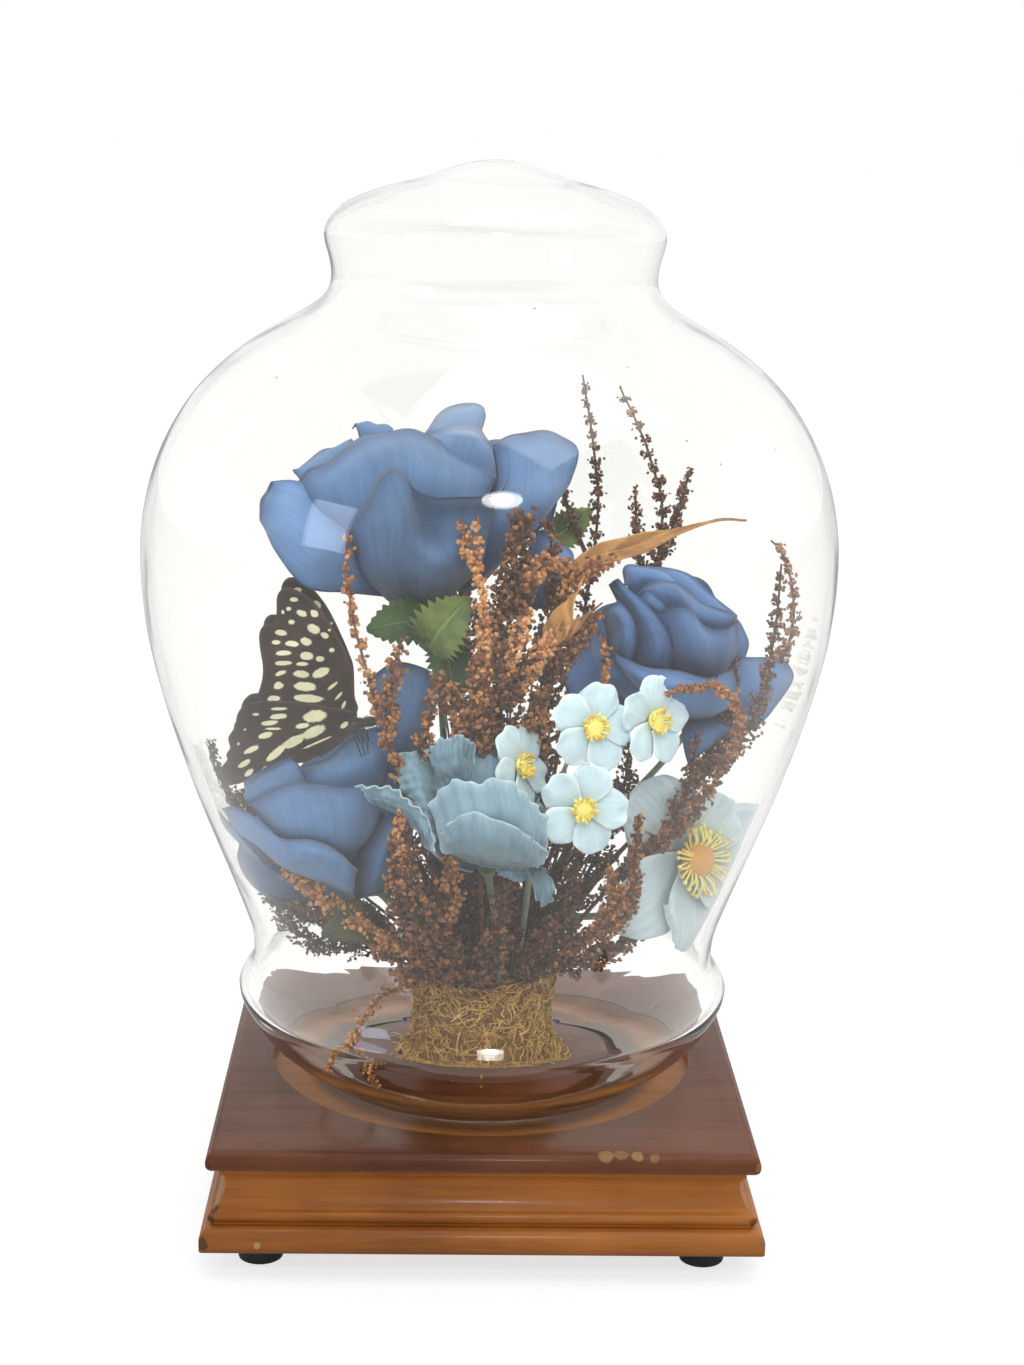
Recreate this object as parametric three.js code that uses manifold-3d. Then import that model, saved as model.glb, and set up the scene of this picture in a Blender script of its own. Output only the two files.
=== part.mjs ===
// A butterfly mounted among silk flowers and dried sprays, under a blown glass dome on a square plinth.
// Millimetres, +Z up. The origin lies on the table under the middle of the plinth, and the front is -Y.
import * as THREE from "three";
import { mergeVertices } from "three/addons/utils/BufferGeometryUtils.js";
import Module from "manifold-3d";

const wasm = await Module();
wasm.setup();

// Driving dimensions of the plinth
const TOP_WIDTH = 150;
const TOP_THICKNESS = 6;
const MOULDING_HEIGHT = 15.5;
const BASE_WIDTH = 153.6;
const BASE_THICKNESS = 7;
const FOOT_HEIGHT = 8;
const FOOT_RADIUS = 6.8;
const FOOT_INSET = 15.6;
const GROOVE_OUTER_RADIUS = 61.8;
const GROOVE_INNER_RADIUS = 38.5;
const GROOVE_DEPTH = 4;
const BOARD_GAP = 0.02;

// Driving dimensions of the glass
const WALL = 2.4;
const DOME_SIDES = 24;

// Driving dimensions of the arrangement
const CLEARANCE = 0.3;
const MOSS_RADIUS = 23.5;
const MOSS_HEIGHT = 29;
const PETAL_THICKNESS = 0.9;
const LEAF_THICKNESS = 0.8;
const WING_THICKNESS = 0.5;
const STEM_RADIUS = 1.1;

// Levels, from the table up
const BASE_TOP = FOOT_HEIGHT + BASE_THICKNESS;
const MOULDING_TOP = BASE_TOP + MOULDING_HEIGHT;
const PLINTH_TOP = MOULDING_TOP + TOP_THICKNESS;
const MOSS_TOP = PLINTH_TOP + MOSS_HEIGHT;

// Colours and surfaces
const WOOD_DARK = new THREE.MeshStandardMaterial({ color: 0x5f3a28, roughness: 0.35 });
const WOOD_BROWN = new THREE.MeshStandardMaterial({ color: 0x8a5526, roughness: 0.4 });
const RUBBER = new THREE.MeshStandardMaterial({ color: 0x1c1c20, roughness: 0.7 });
const GLASS = new THREE.MeshStandardMaterial({ color: 0xeef4ee, roughness: 0.03 });
const MOSS = new THREE.MeshStandardMaterial({ color: 0x7a5a2c, roughness: 1 });
const SILK_BLUE = new THREE.MeshStandardMaterial({ color: 0x4f74a8, roughness: 0.8 });
const SILK_PALE = new THREE.MeshStandardMaterial({ color: 0x9cc0d6, roughness: 0.8 });
const SILK_ORANGE = new THREE.MeshStandardMaterial({ color: 0xe08a2a, roughness: 0.8 });
const LEAF_GREEN = new THREE.MeshStandardMaterial({ color: 0x3f5f2c, roughness: 0.7 });
const STEM_GREEN = new THREE.MeshStandardMaterial({ color: 0x6d8a5a, roughness: 0.6 });
const DRIED_TAN = new THREE.MeshStandardMaterial({ color: 0xb5823f, roughness: 0.9 });
const DRIED_BROWN = new THREE.MeshStandardMaterial({ color: 0x6b4426, roughness: 1 });
const WING_BROWN = new THREE.MeshStandardMaterial({ color: 0x3a2a20, roughness: 0.8 });

const radians = THREE.MathUtils.degToRad;
const mix = THREE.MathUtils.lerp;
const at = (x, y, z) => new THREE.Vector3(x, y, z);

// Solids and booleans

function solidOf(geometry, matrix = new THREE.Matrix4()) {
  const plain = new THREE.BufferGeometry();
  plain.setAttribute("position", geometry.getAttribute("position").clone());
  if (geometry.index) plain.setIndex(geometry.index.clone());
  plain.applyMatrix4(matrix);
  const merged = mergeVertices(plain, 1e-4);
  return new wasm.Manifold(
    new wasm.Mesh({
      numProp: 3,
      vertProperties: new Float32Array(merged.attributes.position.array),
      triVerts: new Uint32Array(merged.index.array),
    }),
  );
}

function geometryOf(solid, matrix = new THREE.Matrix4()) {
  const mesh = solid.getMesh();
  const geometry = new THREE.BufferGeometry();
  geometry.setAttribute("position", new THREE.BufferAttribute(mesh.vertProperties, 3));
  geometry.setIndex(new THREE.BufferAttribute(mesh.triVerts, 1));
  return geometry.applyMatrix4(matrix);
}

function fuse(geometries) {
  return geometryOf(geometries.map((g) => solidOf(g)).reduce((whole, next) => whole.add(next)));
}

function largestBody(solid) {
  return solid.decompose().reduce((best, body) => (body.volume() > best.volume() ? body : best));
}

// Revolved and square shapes. A profile is a list of [radius, height] from the bottom of the axis to its top.

function revolved(profile, sides) {
  const points = profile.map(([radius, height]) => new THREE.Vector2(radius, height));
  return new THREE.LatheGeometry(points, sides).rotateX(Math.PI / 2);
}

function squareTurned(profile) {
  const corner = Math.SQRT2;
  const scaled = profile.map(([half, height]) => [half * corner, height]);
  return revolved(scaled, 4).rotateZ(Math.PI / 4);
}

function quarter(centreRadius, centreHeight, radius, startDegrees, endDegrees, steps) {
  return Array.from({ length: steps + 1 }, (_, i) => {
    const angle = radians(mix(startDegrees, endDegrees, i / steps));
    return [centreRadius + radius * Math.cos(angle), centreHeight + radius * Math.sin(angle)];
  });
}

// Sheets and rods bent out of plain boxes and spindles

function bentSheet(place, across, along, thickness, grow) {
  const geometry = new THREE.BoxGeometry(2, 1, 1, across, along, 1);
  const position = geometry.getAttribute("position");
  const step = 0.02;
  for (let i = 0; i < position.count; i += 1) {
    const u = position.getX(i);
    const v = position.getY(i) + 0.5;
    const side = position.getZ(i);
    const alongU = place(Math.min(u + step, 1), v).sub(place(Math.max(u - step, -1), v)).normalize();
    const alongV = place(u, Math.min(v + step, 1)).sub(place(u, Math.max(v - step, 0))).normalize();
    const normal = alongU.clone().cross(alongV).normalize();
    const point = place(u, v).addScaledVector(normal, side * (thickness + 2 * grow));
    if (Math.abs(u) === 1) point.addScaledVector(alongU, u * grow);
    if (v === 0 || v === 1) point.addScaledVector(alongV, (2 * v - 1) * grow);
    position.setXYZ(i, point.x, point.y, point.z);
  }
  return geometry;
}

// A spindle whose radius follows radiusAt(t) is laid along the curve, t running from 0 to 1.
function bentRod(points, radiusAt, sides, steps) {
  const curve = new THREE.CatmullRomCurve3(points);
  const frames = curve.computeFrenetFrames(steps, false);
  const geometry = new THREE.CylinderGeometry(1, 1, 1, sides, steps);
  const position = geometry.getAttribute("position");
  for (let i = 0; i < position.count; i += 1) {
    const t = position.getY(i) + 0.5;
    const frame = Math.round(t * steps);
    const point = curve.getPointAt(t);
    const radius = radiusAt(t);
    point.addScaledVector(frames.normals[frame], radius * position.getX(i));
    point.addScaledVector(frames.binormals[frame], -radius * position.getZ(i));
    position.setXYZ(i, point.x, point.y, point.z);
  }
  return geometry;
}

const evenRod = (radius) => () => radius;

// Plinth

function plinthTopBoard() {
  const half = TOP_WIDTH / 2;
  const edge = TOP_THICKNESS / 2;
  const board = squareTurned([
    [0, 0],
    ...quarter(half - edge, edge, edge, -90, 90, 8),
    [0, TOP_THICKNESS],
  ]);
  const ring = [
    [GROOVE_INNER_RADIUS, TOP_THICKNESS - GROOVE_DEPTH],
    [GROOVE_OUTER_RADIUS, TOP_THICKNESS - GROOVE_DEPTH],
    [GROOVE_OUTER_RADIUS, TOP_THICKNESS + 1],
    [GROOVE_INNER_RADIUS, TOP_THICKNESS + 1],
    [GROOVE_INNER_RADIUS, TOP_THICKNESS - GROOVE_DEPTH],
  ];
  return geometryOf(solidOf(board).subtract(solidOf(revolved(ring, 36))));
}

function plinthMoulding() {
  const height = MOULDING_HEIGHT - BOARD_GAP;
  return squareTurned([
    [0, BOARD_GAP],
    [73.6, BOARD_GAP],
    [73.6, 1],
    [74.4, 1.6],
    [74.6, 2.8],
    [73.8, 4],
    ...quarter(76.2, 10.6, 6.2, 228, 158, 5),
    [71.6, height - 1.8],
    [71.6, height],
    [0, height],
  ]);
}

function plinthBaseBoard() {
  const half = BASE_WIDTH / 2;
  return squareTurned([
    [0, 0],
    [half - 0.8, 0],
    [half, 0.8],
    ...quarter(half - 4, BASE_THICKNESS - 4, 4, 0, 90, 5),
    [0, BASE_THICKNESS],
  ]);
}

function rubberFoot() {
  return revolved(
    [
      [0, 0],
      [FOOT_RADIUS - 1.6, 0],
      [FOOT_RADIUS - 0.5, 1.2],
      [FOOT_RADIUS, FOOT_HEIGHT - BOARD_GAP],
      [0, FOOT_HEIGHT - BOARD_GAP],
    ],
    12,
  );
}

// Glass dome. Heights in the outline are above the top of the plinth.

const DOME_BODY = [
  [43, -3.9],
  [57.5, 3.5],
  [67, 12.5],
  [71.9, 24],
  [67.8, 37],
  [72.4, 53],
  [83.8, 84],
  [94.4, 118],
  [98.9, 149],
  [94.6, 176],
  [84, 196],
  [66, 212],
  [51.6, 220],
];
const DOME_COLLAR = [
  [45.6, 226.6],
  [47, 234.5],
  [47.6, 242],
  [42.6, 248.6],
];
const DOME_CAP = [
  [24, 255.2],
];
const DOME_APEX = 261.3;

function domeOutline(inset) {
  const corners = [...DOME_BODY, ...DOME_COLLAR, ...DOME_CAP, [0, DOME_APEX]];
  const curve = new THREE.SplineCurve(corners.map(([r, z]) => new THREE.Vector2(r, z)));
  const last = corners.length - 1;
  return corners.map(([radius, height], i) => {
    if (i === last) return [0, height - inset];
    const tangent = curve.getTangent(i / last);
    const rise = i === 0 ? 0 : tangent.x * inset;
    const inward = i === 0 ? inset : tangent.y * inset;
    return [radius - inward, height + rise];
  });
}

function glassDome() {
  const outer = domeOutline(0).reverse();
  const inner = domeOutline(WALL);
  return revolved([...outer, ...inner].reverse(), DOME_SIDES);
}

function domeCavity() {
  const inner = domeOutline(WALL + CLEARANCE);
  return revolved([[0, inner[0][1]], ...inner], DOME_SIDES).translate(0, 0, PLINTH_TOP);
}

// Moss column, as lumpy as packed fibre

function mossColumn(grow) {
  const [top, foot] = [MOSS_RADIUS - 1.5 + grow, MOSS_RADIUS + grow];
  const geometry = new THREE.CylinderGeometry(top, foot, MOSS_HEIGHT + 2 * grow, 18, 3);
  geometry.rotateX(Math.PI / 2).translate(0, 0, MOSS_HEIGHT / 2);
  const position = geometry.getAttribute("position");
  for (let i = 0; i < position.count; i += 1) {
    const [x, y, z] = [position.getX(i), position.getY(i), position.getZ(i)];
    const angle = Math.atan2(y, x);
    const waist = 1 - 0.07 * Math.sin((Math.PI * z) / MOSS_HEIGHT);
    const lump = 1 + 0.035 * Math.sin(5 * angle + z * 0.4) + 0.025 * Math.cos(9 * angle - z * 0.3);
    position.setXYZ(i, x * waist * lump, y * waist * lump, z);
  }
  return geometry;
}

// Petals. One stamped layer is a disc of cloth with a petal at each turn, in degrees round the flower's axis.
// A petal's slope above the level runs from slopes[0] at its foot through slopes[1] halfway to slopes[2] at
// its tip. Between two petals the cloth is cut in by a notch.

function slopeAt(slopes, t) {
  const [foot, middle, tip] = slopes;
  return radians(foot * (1 - t) * (1 - 2 * t) + 4 * middle * t * (1 - t) + tip * t * (2 * t - 1));
}

function petalLine(petal, foot, lift, reach) {
  const steps = 12;
  let [out, up] = [foot, lift];
  for (let i = 0; i < steps; i += 1) {
    const slope = slopeAt(petal.slopes, (reach * (i + 0.5)) / steps);
    out += ((reach * petal.length) / steps) * Math.cos(slope);
    up += ((reach * petal.length) / steps) * Math.sin(slope);
  }
  return [out, up, slopeAt(petal.slopes, reach)];
}

const PETAL_ROWS = 2;
const PETAL_COLUMNS = 4;
const NOTCH = 0.3;

function petalLayer(petals, foot = 3, lift = 0) {
  const ordered = [...petals].sort((a, b) => a.turn - b.turn);
  const count = ordered.length;
  const petalAt = (i) => ordered[(i + count) % count];
  const turnAt = (i) => petalAt(i).turn + 360 * Math.floor(i / count);
  return (grow) => {
    const shares = [0, 1];
    for (let row = 1; row <= PETAL_ROWS; row += 1) shares.push(1 + row / PETAL_ROWS);
    const under = shares.map((share) => new THREE.Vector2(share, -1));
    const over = shares.map((share) => new THREE.Vector2(share, 1)).reverse();
    const sides = count * PETAL_COLUMNS;
    const geometry = new THREE.LatheGeometry([...under, ...over], sides);
    const position = geometry.getAttribute("position");
    for (let i = 0; i < position.count; i += 1) {
      const [x, side, z] = [position.getX(i), position.getY(i), position.getZ(i)];
      const share = Math.hypot(x, z);
      const column = (Math.round((Math.atan2(x, z) / (2 * Math.PI)) * sides) + sides) % sides;
      const index = Math.floor(column / PETAL_COLUMNS);
      const u = (2 * (column % PETAL_COLUMNS)) / PETAL_COLUMNS - 1;
      const neighbour = index + (u < 0 ? -1 : 1);
      const edge = mix(turnAt(index), turnAt(neighbour), 0.5);
      const turn = radians(mix(turnAt(index), edge, Math.abs(u)));
      const reach = Math.max(share - 1, 0) * (1 - NOTCH * u * u);
      const own = petalLine(petalAt(index), foot, lift, reach);
      const next = petalLine(petalAt(neighbour), foot, lift, reach);
      const line = own.map((value, k) => mix(value, next[k], u === -1 ? 0.5 : 0));
      const tipGrow = share > 1.99 ? grow : 0;
      const half = side * (PETAL_THICKNESS / 2 + grow);
      const slope = share > 1.01 ? line[2] : 0;
      const radius = Math.min(share, 1) * line[0] + tipGrow * Math.cos(slope) - half * Math.sin(slope);
      const height = line[1] + tipGrow * Math.sin(slope) + half * Math.cos(slope);
      position.setXYZ(i, radius * Math.cos(turn), radius * Math.sin(turn), height);
    }
    return geometry;
  };
}

// The tight heart of a rose, with its lips turned in
function roseHeart(height, radius) {
  return (grow) => {
    const foot = 6 - grow;
    const wide = radius + grow;
    return revolved(
      [
        [0, foot],
        [1.6 + grow, foot],
        [wide * 0.8, mix(foot, height, 0.3)],
        [wide, mix(foot, height, 0.7)],
        [wide * 0.8, height + grow],
        [0, height - 4 + grow],
      ],
      9,
    );
  };
}

// Each node is drawn by a function of how much it is grown, so that its neighbours can be cut to clear it.
const parts = [];

function addPart(name, material, drawn, { position, aim, spin = 0, cutBy = true } = {}) {
  const mesh = new THREE.Mesh(drawn(0), material);
  mesh.name = name;
  if (position) mesh.position.copy(position);
  if (aim) {
    const turn = new THREE.Quaternion().setFromUnitVectors(at(0, 0, 1), aim.clone().normalize());
    const roll = new THREE.Quaternion().setFromAxisAngle(at(0, 0, 1), radians(spin));
    mesh.quaternion.copy(turn.multiply(roll));
  }
  mesh.updateMatrixWorld(true);
  parts.push({ mesh, drawn, cutBy });
  return mesh;
}

function ringOf(count, start, petal) {
  return Array.from({ length: count }, (_, i) => ({ ...petal, turn: start + (360 / count) * i }));
}

// Butterfly, wings folded up over the back. Outlines are [forward, up] from the wing's root.

const FOREWING = [
  [0, 0],
  [-0.2, 4.2],
  [-1.2, 14],
  [-3.9, 20.2],
  [-8.9, 28.9],
  [-14.2, 34.3],
  [-18.8, 35.4],
  [-20.8, 32.8],
  [-21.1, 25.8],
  [-25.1, 23.8],
  [-25.6, 21.1],
  [-24.7, 14.1],
  [-26.2, 4.2],
  [-17.3, 1.5],
];
const HINDWING = [
  [0, 0],
  [-6.6, 1.7],
  [-14.2, 3],
  [-27.9, 3.4],
  [-31.6, 0],
  [-33.7, -5.8],
  [-34, -12.2],
  [-35.7, -15.6],
  [-34.4, -19],
  [-29.7, -18.6],
  [-23.1, -14.1],
  [-17.3, -11.6],
  [-12.7, -13.3],
  [-2.7, -7],
];
const BUTTERFLY_ROOT = at(-36.8, -34, 149.1);

function wingPlate(outline, thickness) {
  const shape = new THREE.Shape(outline.map(([x, y]) => new THREE.Vector2(x, y)));
  return new THREE.ExtrudeGeometry(shape, { depth: thickness, bevelEnabled: false })
    .translate(0, 0, -thickness / 2)
    .rotateX(Math.PI / 2);
}

function addWing(name, outline, spread, offset) {
  const drawn = (grow) => {
    const middle = 1 + grow / 12;
    return wingPlate(outline, WING_THICKNESS + 2 * grow).scale(middle, 1, middle);
  };
  const mesh = addPart(name, WING_BROWN, drawn);
  mesh.position.copy(BUTTERFLY_ROOT).add(at(0, offset, 0));
  mesh.rotation.set(radians(spread), 0, 0);
  return mesh;
}

function butterflyBody(grow) {
  const thorax = new THREE.SphereGeometry(1, 8, 5).scale(4 + grow, 2.3 + grow, 2.4 + grow);
  const abdomen = new THREE.SphereGeometry(1, 8, 5).scale(8 + grow, 1.7 + grow, 1.8 + grow);
  abdomen.rotateY(radians(-38)).translate(-6.2, 0, -4.8);
  const head = new THREE.SphereGeometry(1, 6, 5).scale(1.7 + grow, 1.6 + grow, 1.6 + grow);
  head.translate(4.4, 0, 0.7);
  const pieces = [thorax, abdomen, head];
  for (const side of [-1, 1]) {
    const feeler = [at(4.6, side * 0.7, 1.2), at(8.5, side * 3, 8), at(10, side * 5.4, 14.5)];
    pieces.push(bentRod(feeler, (t) => 0.35 + 0.3 * t * t + grow, 3, 4));
    for (const reach of [-1.8, 0.2, 2]) {
      const foot = at(reach + 1.6, side * 3, -7.6);
      const leg = [at(reach, side * 0.8, -0.8), at(reach + 1, side * 3.2, -4), foot];
      pieces.push(bentRod(leg, evenRod(0.4 + grow), 3, 2));
    }
  }
  return fuse(pieces);
}

// Flat boat-shaped leaves between two points, with a fold along the middle

function leafSheet(leaf, grow = 0) {
  const { tip, halfWidth, across = 2, along = 4, sag = 3, fold = 0.25, facing = at(0, -1, 0.4) } = leaf;
  const sideways = tip.clone().cross(facing).normalize();
  const up = sideways.clone().cross(tip).normalize();
  const place = (u, v) => {
    const width = halfWidth * Math.sin(Math.PI * mix(0.06, 0.97, v)) ** 0.8;
    const point = tip.clone().multiplyScalar(v);
    point.addScaledVector(sideways, u * width);
    return point.addScaledVector(up, Math.abs(u) * width * fold + sag * Math.sin(Math.PI * v));
  };
  return bentSheet(place, across, along, LEAF_THICKNESS, grow);
}

function addLeaf(name, material, foot, leaf) {
  addPart(name, material, (grow) => leafSheet(leaf, grow), { position: foot });
}

// Roses: one stamped fabric layer to a node, on a wire stem with its calyx.
// All stems are added after the petals.
const stems = [];

function addRose(name, rose) {
  const { foot, aim, spin, outer, inner, heart, stem } = rose;
  const place = { position: foot, aim, spin };
  addPart(`${name}_outer_petals`, SILK_BLUE, petalLayer(outer, 4.5, 0), place);
  addPart(`${name}_inner_petals`, SILK_BLUE, petalLayer(inner, 3, 2.6), place);
  addPart(`${name}_heart`, SILK_BLUE, roseHeart(...heart), place);
  stems.push([`${name}_stem`, foot, aim, stem]);
}

// A stem runs from its own place in the moss up to the flower's foot, and widens into the calyx.
function addStem(name, foot, aim, { root, bow = [], radius = STEM_RADIUS, calyx = 4 }) {
  const back = aim.clone().normalize();
  const start = at(root[0], root[1], MOSS_TOP - 9);
  const rise = at(root[0] * 1.3, root[1] * 1.3, MOSS_TOP + 14);
  const middle = bow.map(([x, y, z]) => at(x, y, z));
  const before = foot.clone().addScaledVector(back, -11);
  const end = foot.clone().addScaledVector(back, -0.6);
  const drawn = (grow) => {
    const swell = (t) => radius + grow + calyx * Math.max(0, (t - 0.88) / 0.12) ** 1.5;
    return bentRod([start, rise, ...middle, before, end], swell, 5, 9);
  };
  addPart(name, STEM_GREEN, drawn);
}

// Dried sprays: a thin stalk that swells into a plume of seed husks and tapers to the tip

function addSpray(name, spray) {
  const points = spray.path.map(([x, y, z]) => at(x, y, z));
  const { plume = 3.4, bare = 0.25 } = spray;
  const drawn = (grow) => {
    const full = (t) => Math.sin(Math.PI * Math.min(1, Math.max(0, (t - bare) / (1 - bare))) ** 0.7);
    return bentRod(points, (t) => 0.8 + (plume - 0.8) * full(t) + grow, 5, 6);
  };
  addPart(name, DRIED_BROWN, drawn);
}

// Assembly. Earlier parts keep their shape, and later ones are cut to clear them.

const level = (z) => ({ position: at(0, 0, z) });
addPart("plinth_top", WOOD_DARK, plinthTopBoard, { ...level(MOULDING_TOP), cutBy: false });
addPart("plinth_moulding", WOOD_BROWN, plinthMoulding, { ...level(BASE_TOP), cutBy: false });
addPart("plinth_base", WOOD_BROWN, plinthBaseBoard, { ...level(FOOT_HEIGHT), cutBy: false });
for (const [name, side, depth] of [
  ["foot_front_left", -1, -1],
  ["foot_front_right", 1, -1],
  ["foot_back_left", -1, 1],
  ["foot_back_right", 1, 1],
]) {
  const reach = BASE_WIDTH / 2 - FOOT_INSET;
  addPart(name, RUBBER, rubberFoot, { position: at(side * reach, depth * reach, 0), cutBy: false });
}
addPart("glass_dome", GLASS, glassDome, { ...level(PLINTH_TOP), cutBy: false });

addPart("butterfly_body", WING_BROWN, butterflyBody, {
  position: BUTTERFLY_ROOT.clone().add(at(0.5, 0, -3.4)),
});
addWing("forewing_left", FOREWING, 5, -1.6);
addWing("forewing_right", FOREWING, -9, 1.6);
addWing("hindwing_left", HINDWING, 3, -2.6);
addWing("hindwing_right", HINDWING, -7, 2.6);

// Forget-me-nots: a stamped five-lobed corolla and its raised eye

const FORGET_ME_NOTS = [
  { name: "forget_me_not_upper", centre: at(27.5, -50, 149.5), aim: at(0.3, -0.93, 0.2), spin: 20 },
  { name: "forget_me_not_right", centre: at(44, -45, 150.5), aim: at(0.62, -0.76, 0.15), spin: 48 },
  { name: "forget_me_not_lower", centre: at(25, -55, 128.5), aim: at(0.12, -0.98, 0.15), spin: 6 },
  { name: "forget_me_not_left", centre: at(7.8, -50, 138.5), aim: at(0.8, -0.55, 0.25), spin: 30 },
];

const LOBES = 5;
const LOBE_REACH = 12.6;
const LOBE_WAIST = 5.2;

function forgetMeNot(grow) {
  const steps = 30;
  const outline = Array.from({ length: steps }, (_, i) => {
    const angle = (2 * Math.PI * i) / steps;
    const lobe = Math.abs(Math.cos((LOBES * angle) / 2)) ** 0.55;
    const reach = mix(LOBE_WAIST, LOBE_REACH, lobe) + grow;
    return new THREE.Vector2(reach * Math.cos(angle), reach * Math.sin(angle));
  });
  const depth = 0.8 + 2 * grow;
  const corolla = new THREE.ExtrudeGeometry(new THREE.Shape(outline), { depth, bevelEnabled: false });
  const eye = new THREE.CylinderGeometry(2.4 + grow, 2.2 + grow, 3 + 2 * grow, 6).rotateX(Math.PI / 2);
  return fuse([corolla.translate(0, 0, -depth / 2), eye.translate(0, 0, 1.4)]);
}

for (const { name, centre, aim, spin } of FORGET_ME_NOTS) {
  addPart(name, SILK_PALE, forgetMeNot, { position: centre, aim, spin });
}

// One branching stalk carries the forget-me-nots
function forgetMeNotStalk(grow) {
  const fork = at(12, -34, 112);
  const trunk = [at(8, -8, MOSS_TOP - 9), at(11, -14, MOSS_TOP + 14), at(12, -27, 98), fork];
  const twigs = FORGET_ME_NOTS.map(({ centre, aim }) => {
    const back = aim.clone().normalize();
    const end = centre.clone().addScaledVector(back, -1.4);
    const before = centre.clone().addScaledVector(back, -7);
    return bentRod([fork, fork.clone().lerp(before, 0.6), before, end], evenRod(0.6 + grow), 4, 4);
  });
  return fuse([bentRod(trunk, evenRod(0.9 + grow), 5, 5), ...twigs]);
}
addPart("forget_me_not_stalk", STEM_GREEN, forgetMeNotStalk);

// The large open rose at the top left
addRose("rose_top", {
  foot: at(-16, -12, 176),
  aim: at(-0.12, -0.04, 1),
  spin: 0,
  outer: [
    { turn: -128, length: 60, slopes: [18, 78, 48] },
    { turn: -58, length: 55, slopes: [22, 74, 56] },
    { turn: 22, length: 58, slopes: [20, 66, 44] },
    { turn: 95, length: 58, slopes: [18, 74, 40] },
    { turn: 172, length: 56, slopes: [8, 48, 30] },
  ],
  inner: ringOf(4, -95, { length: 46, slopes: [40, 86, 70] }),
  heart: [38, 6.5],
  stem: { root: [-5, -3], bow: [[-12, -8, 130]] },
});

// The half-open rose at the right
addRose("rose_right", {
  foot: at(55, 4, 143),
  aim: at(-0.38, -0.42, 0.82),
  spin: 10,
  outer: [
    { turn: -150, length: 38, slopes: [10, 52, 20] },
    { turn: -75, length: 40, slopes: [-6, 30, 6] },
    { turn: -5, length: 42, slopes: [-2, 34, 8] },
    { turn: 70, length: 38, slopes: [10, 56, 24] },
    { turn: 140, length: 36, slopes: [14, 60, 40] },
  ],
  inner: ringOf(4, -30, { length: 35, slopes: [26, 90, 94] }),
  heart: [30, 6.5],
  stem: { root: [6, 2], bow: [[34, 8, 104]] },
});

// The rose at the lower left, below the butterfly
addRose("rose_left", {
  foot: at(-30, -22, 97),
  aim: at(-0.42, -0.34, 0.84),
  spin: -15,
  outer: [
    { turn: -150, length: 42, slopes: [4, 44, 6] },
    { turn: -80, length: 40, slopes: [20, 60, 40] },
    { turn: -10, length: 42, slopes: [20, 62, 50] },
    { turn: 62, length: 44, slopes: [14, 66, 46] },
    { turn: 138, length: 42, slopes: [4, 46, 20] },
  ],
  inner: ringOf(4, -110, { length: 34, slopes: [36, 86, 74] }),
  heart: [28, 6.5],
  stem: { root: [-9, 3] },
});

// The ruffled pale flower in the middle
const PALE_FOOT = at(0, -40, 108);
const PALE_AIM = at(-0.12, -0.45, 0.88);
const PALE_PETALS = [
  { turn: -95, length: 28, slopes: [12, 62, 60] },
  { turn: -30, length: 26, slopes: [12, 58, 50] },
  { turn: 35, length: 27, slopes: [14, 62, 40] },
  { turn: 95, length: 29, slopes: [16, 66, 50] },
  { turn: 150, length: 33, slopes: [8, 44, 22] },
  { turn: -155, length: 33, slopes: [6, 40, 34] },
];
addPart("pale_flower_petals", SILK_PALE, petalLayer(PALE_PETALS, 2.6), {
  position: PALE_FOOT,
  aim: PALE_AIM,
});
const PALE_STEM = { root: [4, -13], bow: [[4, -30, 84]], calyx: 2.2 };
stems.push(["pale_flower_stem", PALE_FOOT, PALE_AIM, PALE_STEM]);

// The windflower at the right, with its orange eye and long yellow stamens
const WINDFLOWER_FOOT = at(57.5, -27, 106.5);
const WINDFLOWER_AIM = at(0.5, -0.8, 0.12);
const WINDFLOWER_PETALS = [
  { turn: 48, length: 31, slopes: [30, 22, -8] },
  { turn: 100, length: 17, slopes: [40, 30, 20] },
  { turn: 160, length: 24, slopes: [16, 4, -10] },
  { turn: -122, length: 31, slopes: [20, 8, -22] },
  { turn: -78, length: 25, slopes: [34, 18, 0] },
  { turn: -8, length: 16, slopes: [40, 30, 14] },
];

function windflowerEye(grow) {
  const dome = new THREE.SphereGeometry(1, 8, 5).scale(4.4 + grow, 4.4 + grow, 3.4 + grow);
  const pieces = [dome.translate(0, 0, 3.6)];
  const count = 10;
  for (let i = 0; i < count; i += 1) {
    const angle = (2 * Math.PI * i) / count;
    const ray = (out, up) => at(out * Math.cos(angle), out * Math.sin(angle), up);
    const stamen = [ray(2.5, 2.6), ray(6, 5.2), ray(9.5, 6 + (i % 3))];
    pieces.push(bentRod(stamen, (t) => 0.4 + 0.3 * t * t + grow, 3, 2));
  }
  return fuse(pieces);
}

const windflower = { position: WINDFLOWER_FOOT, aim: WINDFLOWER_AIM };
addPart("windflower_petals", SILK_PALE, petalLayer(WINDFLOWER_PETALS, 2.6, -1.2), windflower);
addPart("windflower_eye", SILK_ORANGE, windflowerEye, windflower);
const WINDFLOWER_STEM = { root: [12, -4], bow: [[38, -8, 84]], calyx: 1.6 };
stems.push(["windflower_stem", WINDFLOWER_FOOT, WINDFLOWER_AIM, WINDFLOWER_STEM]);

// The packed heart of the bunch, where stalks and husks are too many to tell apart
const BUNCH_SIDES = 13;
const BUNCH_OUTLINE = [
  [0, 0],
  [15, 0],
  [27, 16],
  [38, 32],
  [40, 46],
  [28, 62],
  [18, 84],
  [7, 98],
  [0, 100],
];

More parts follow.
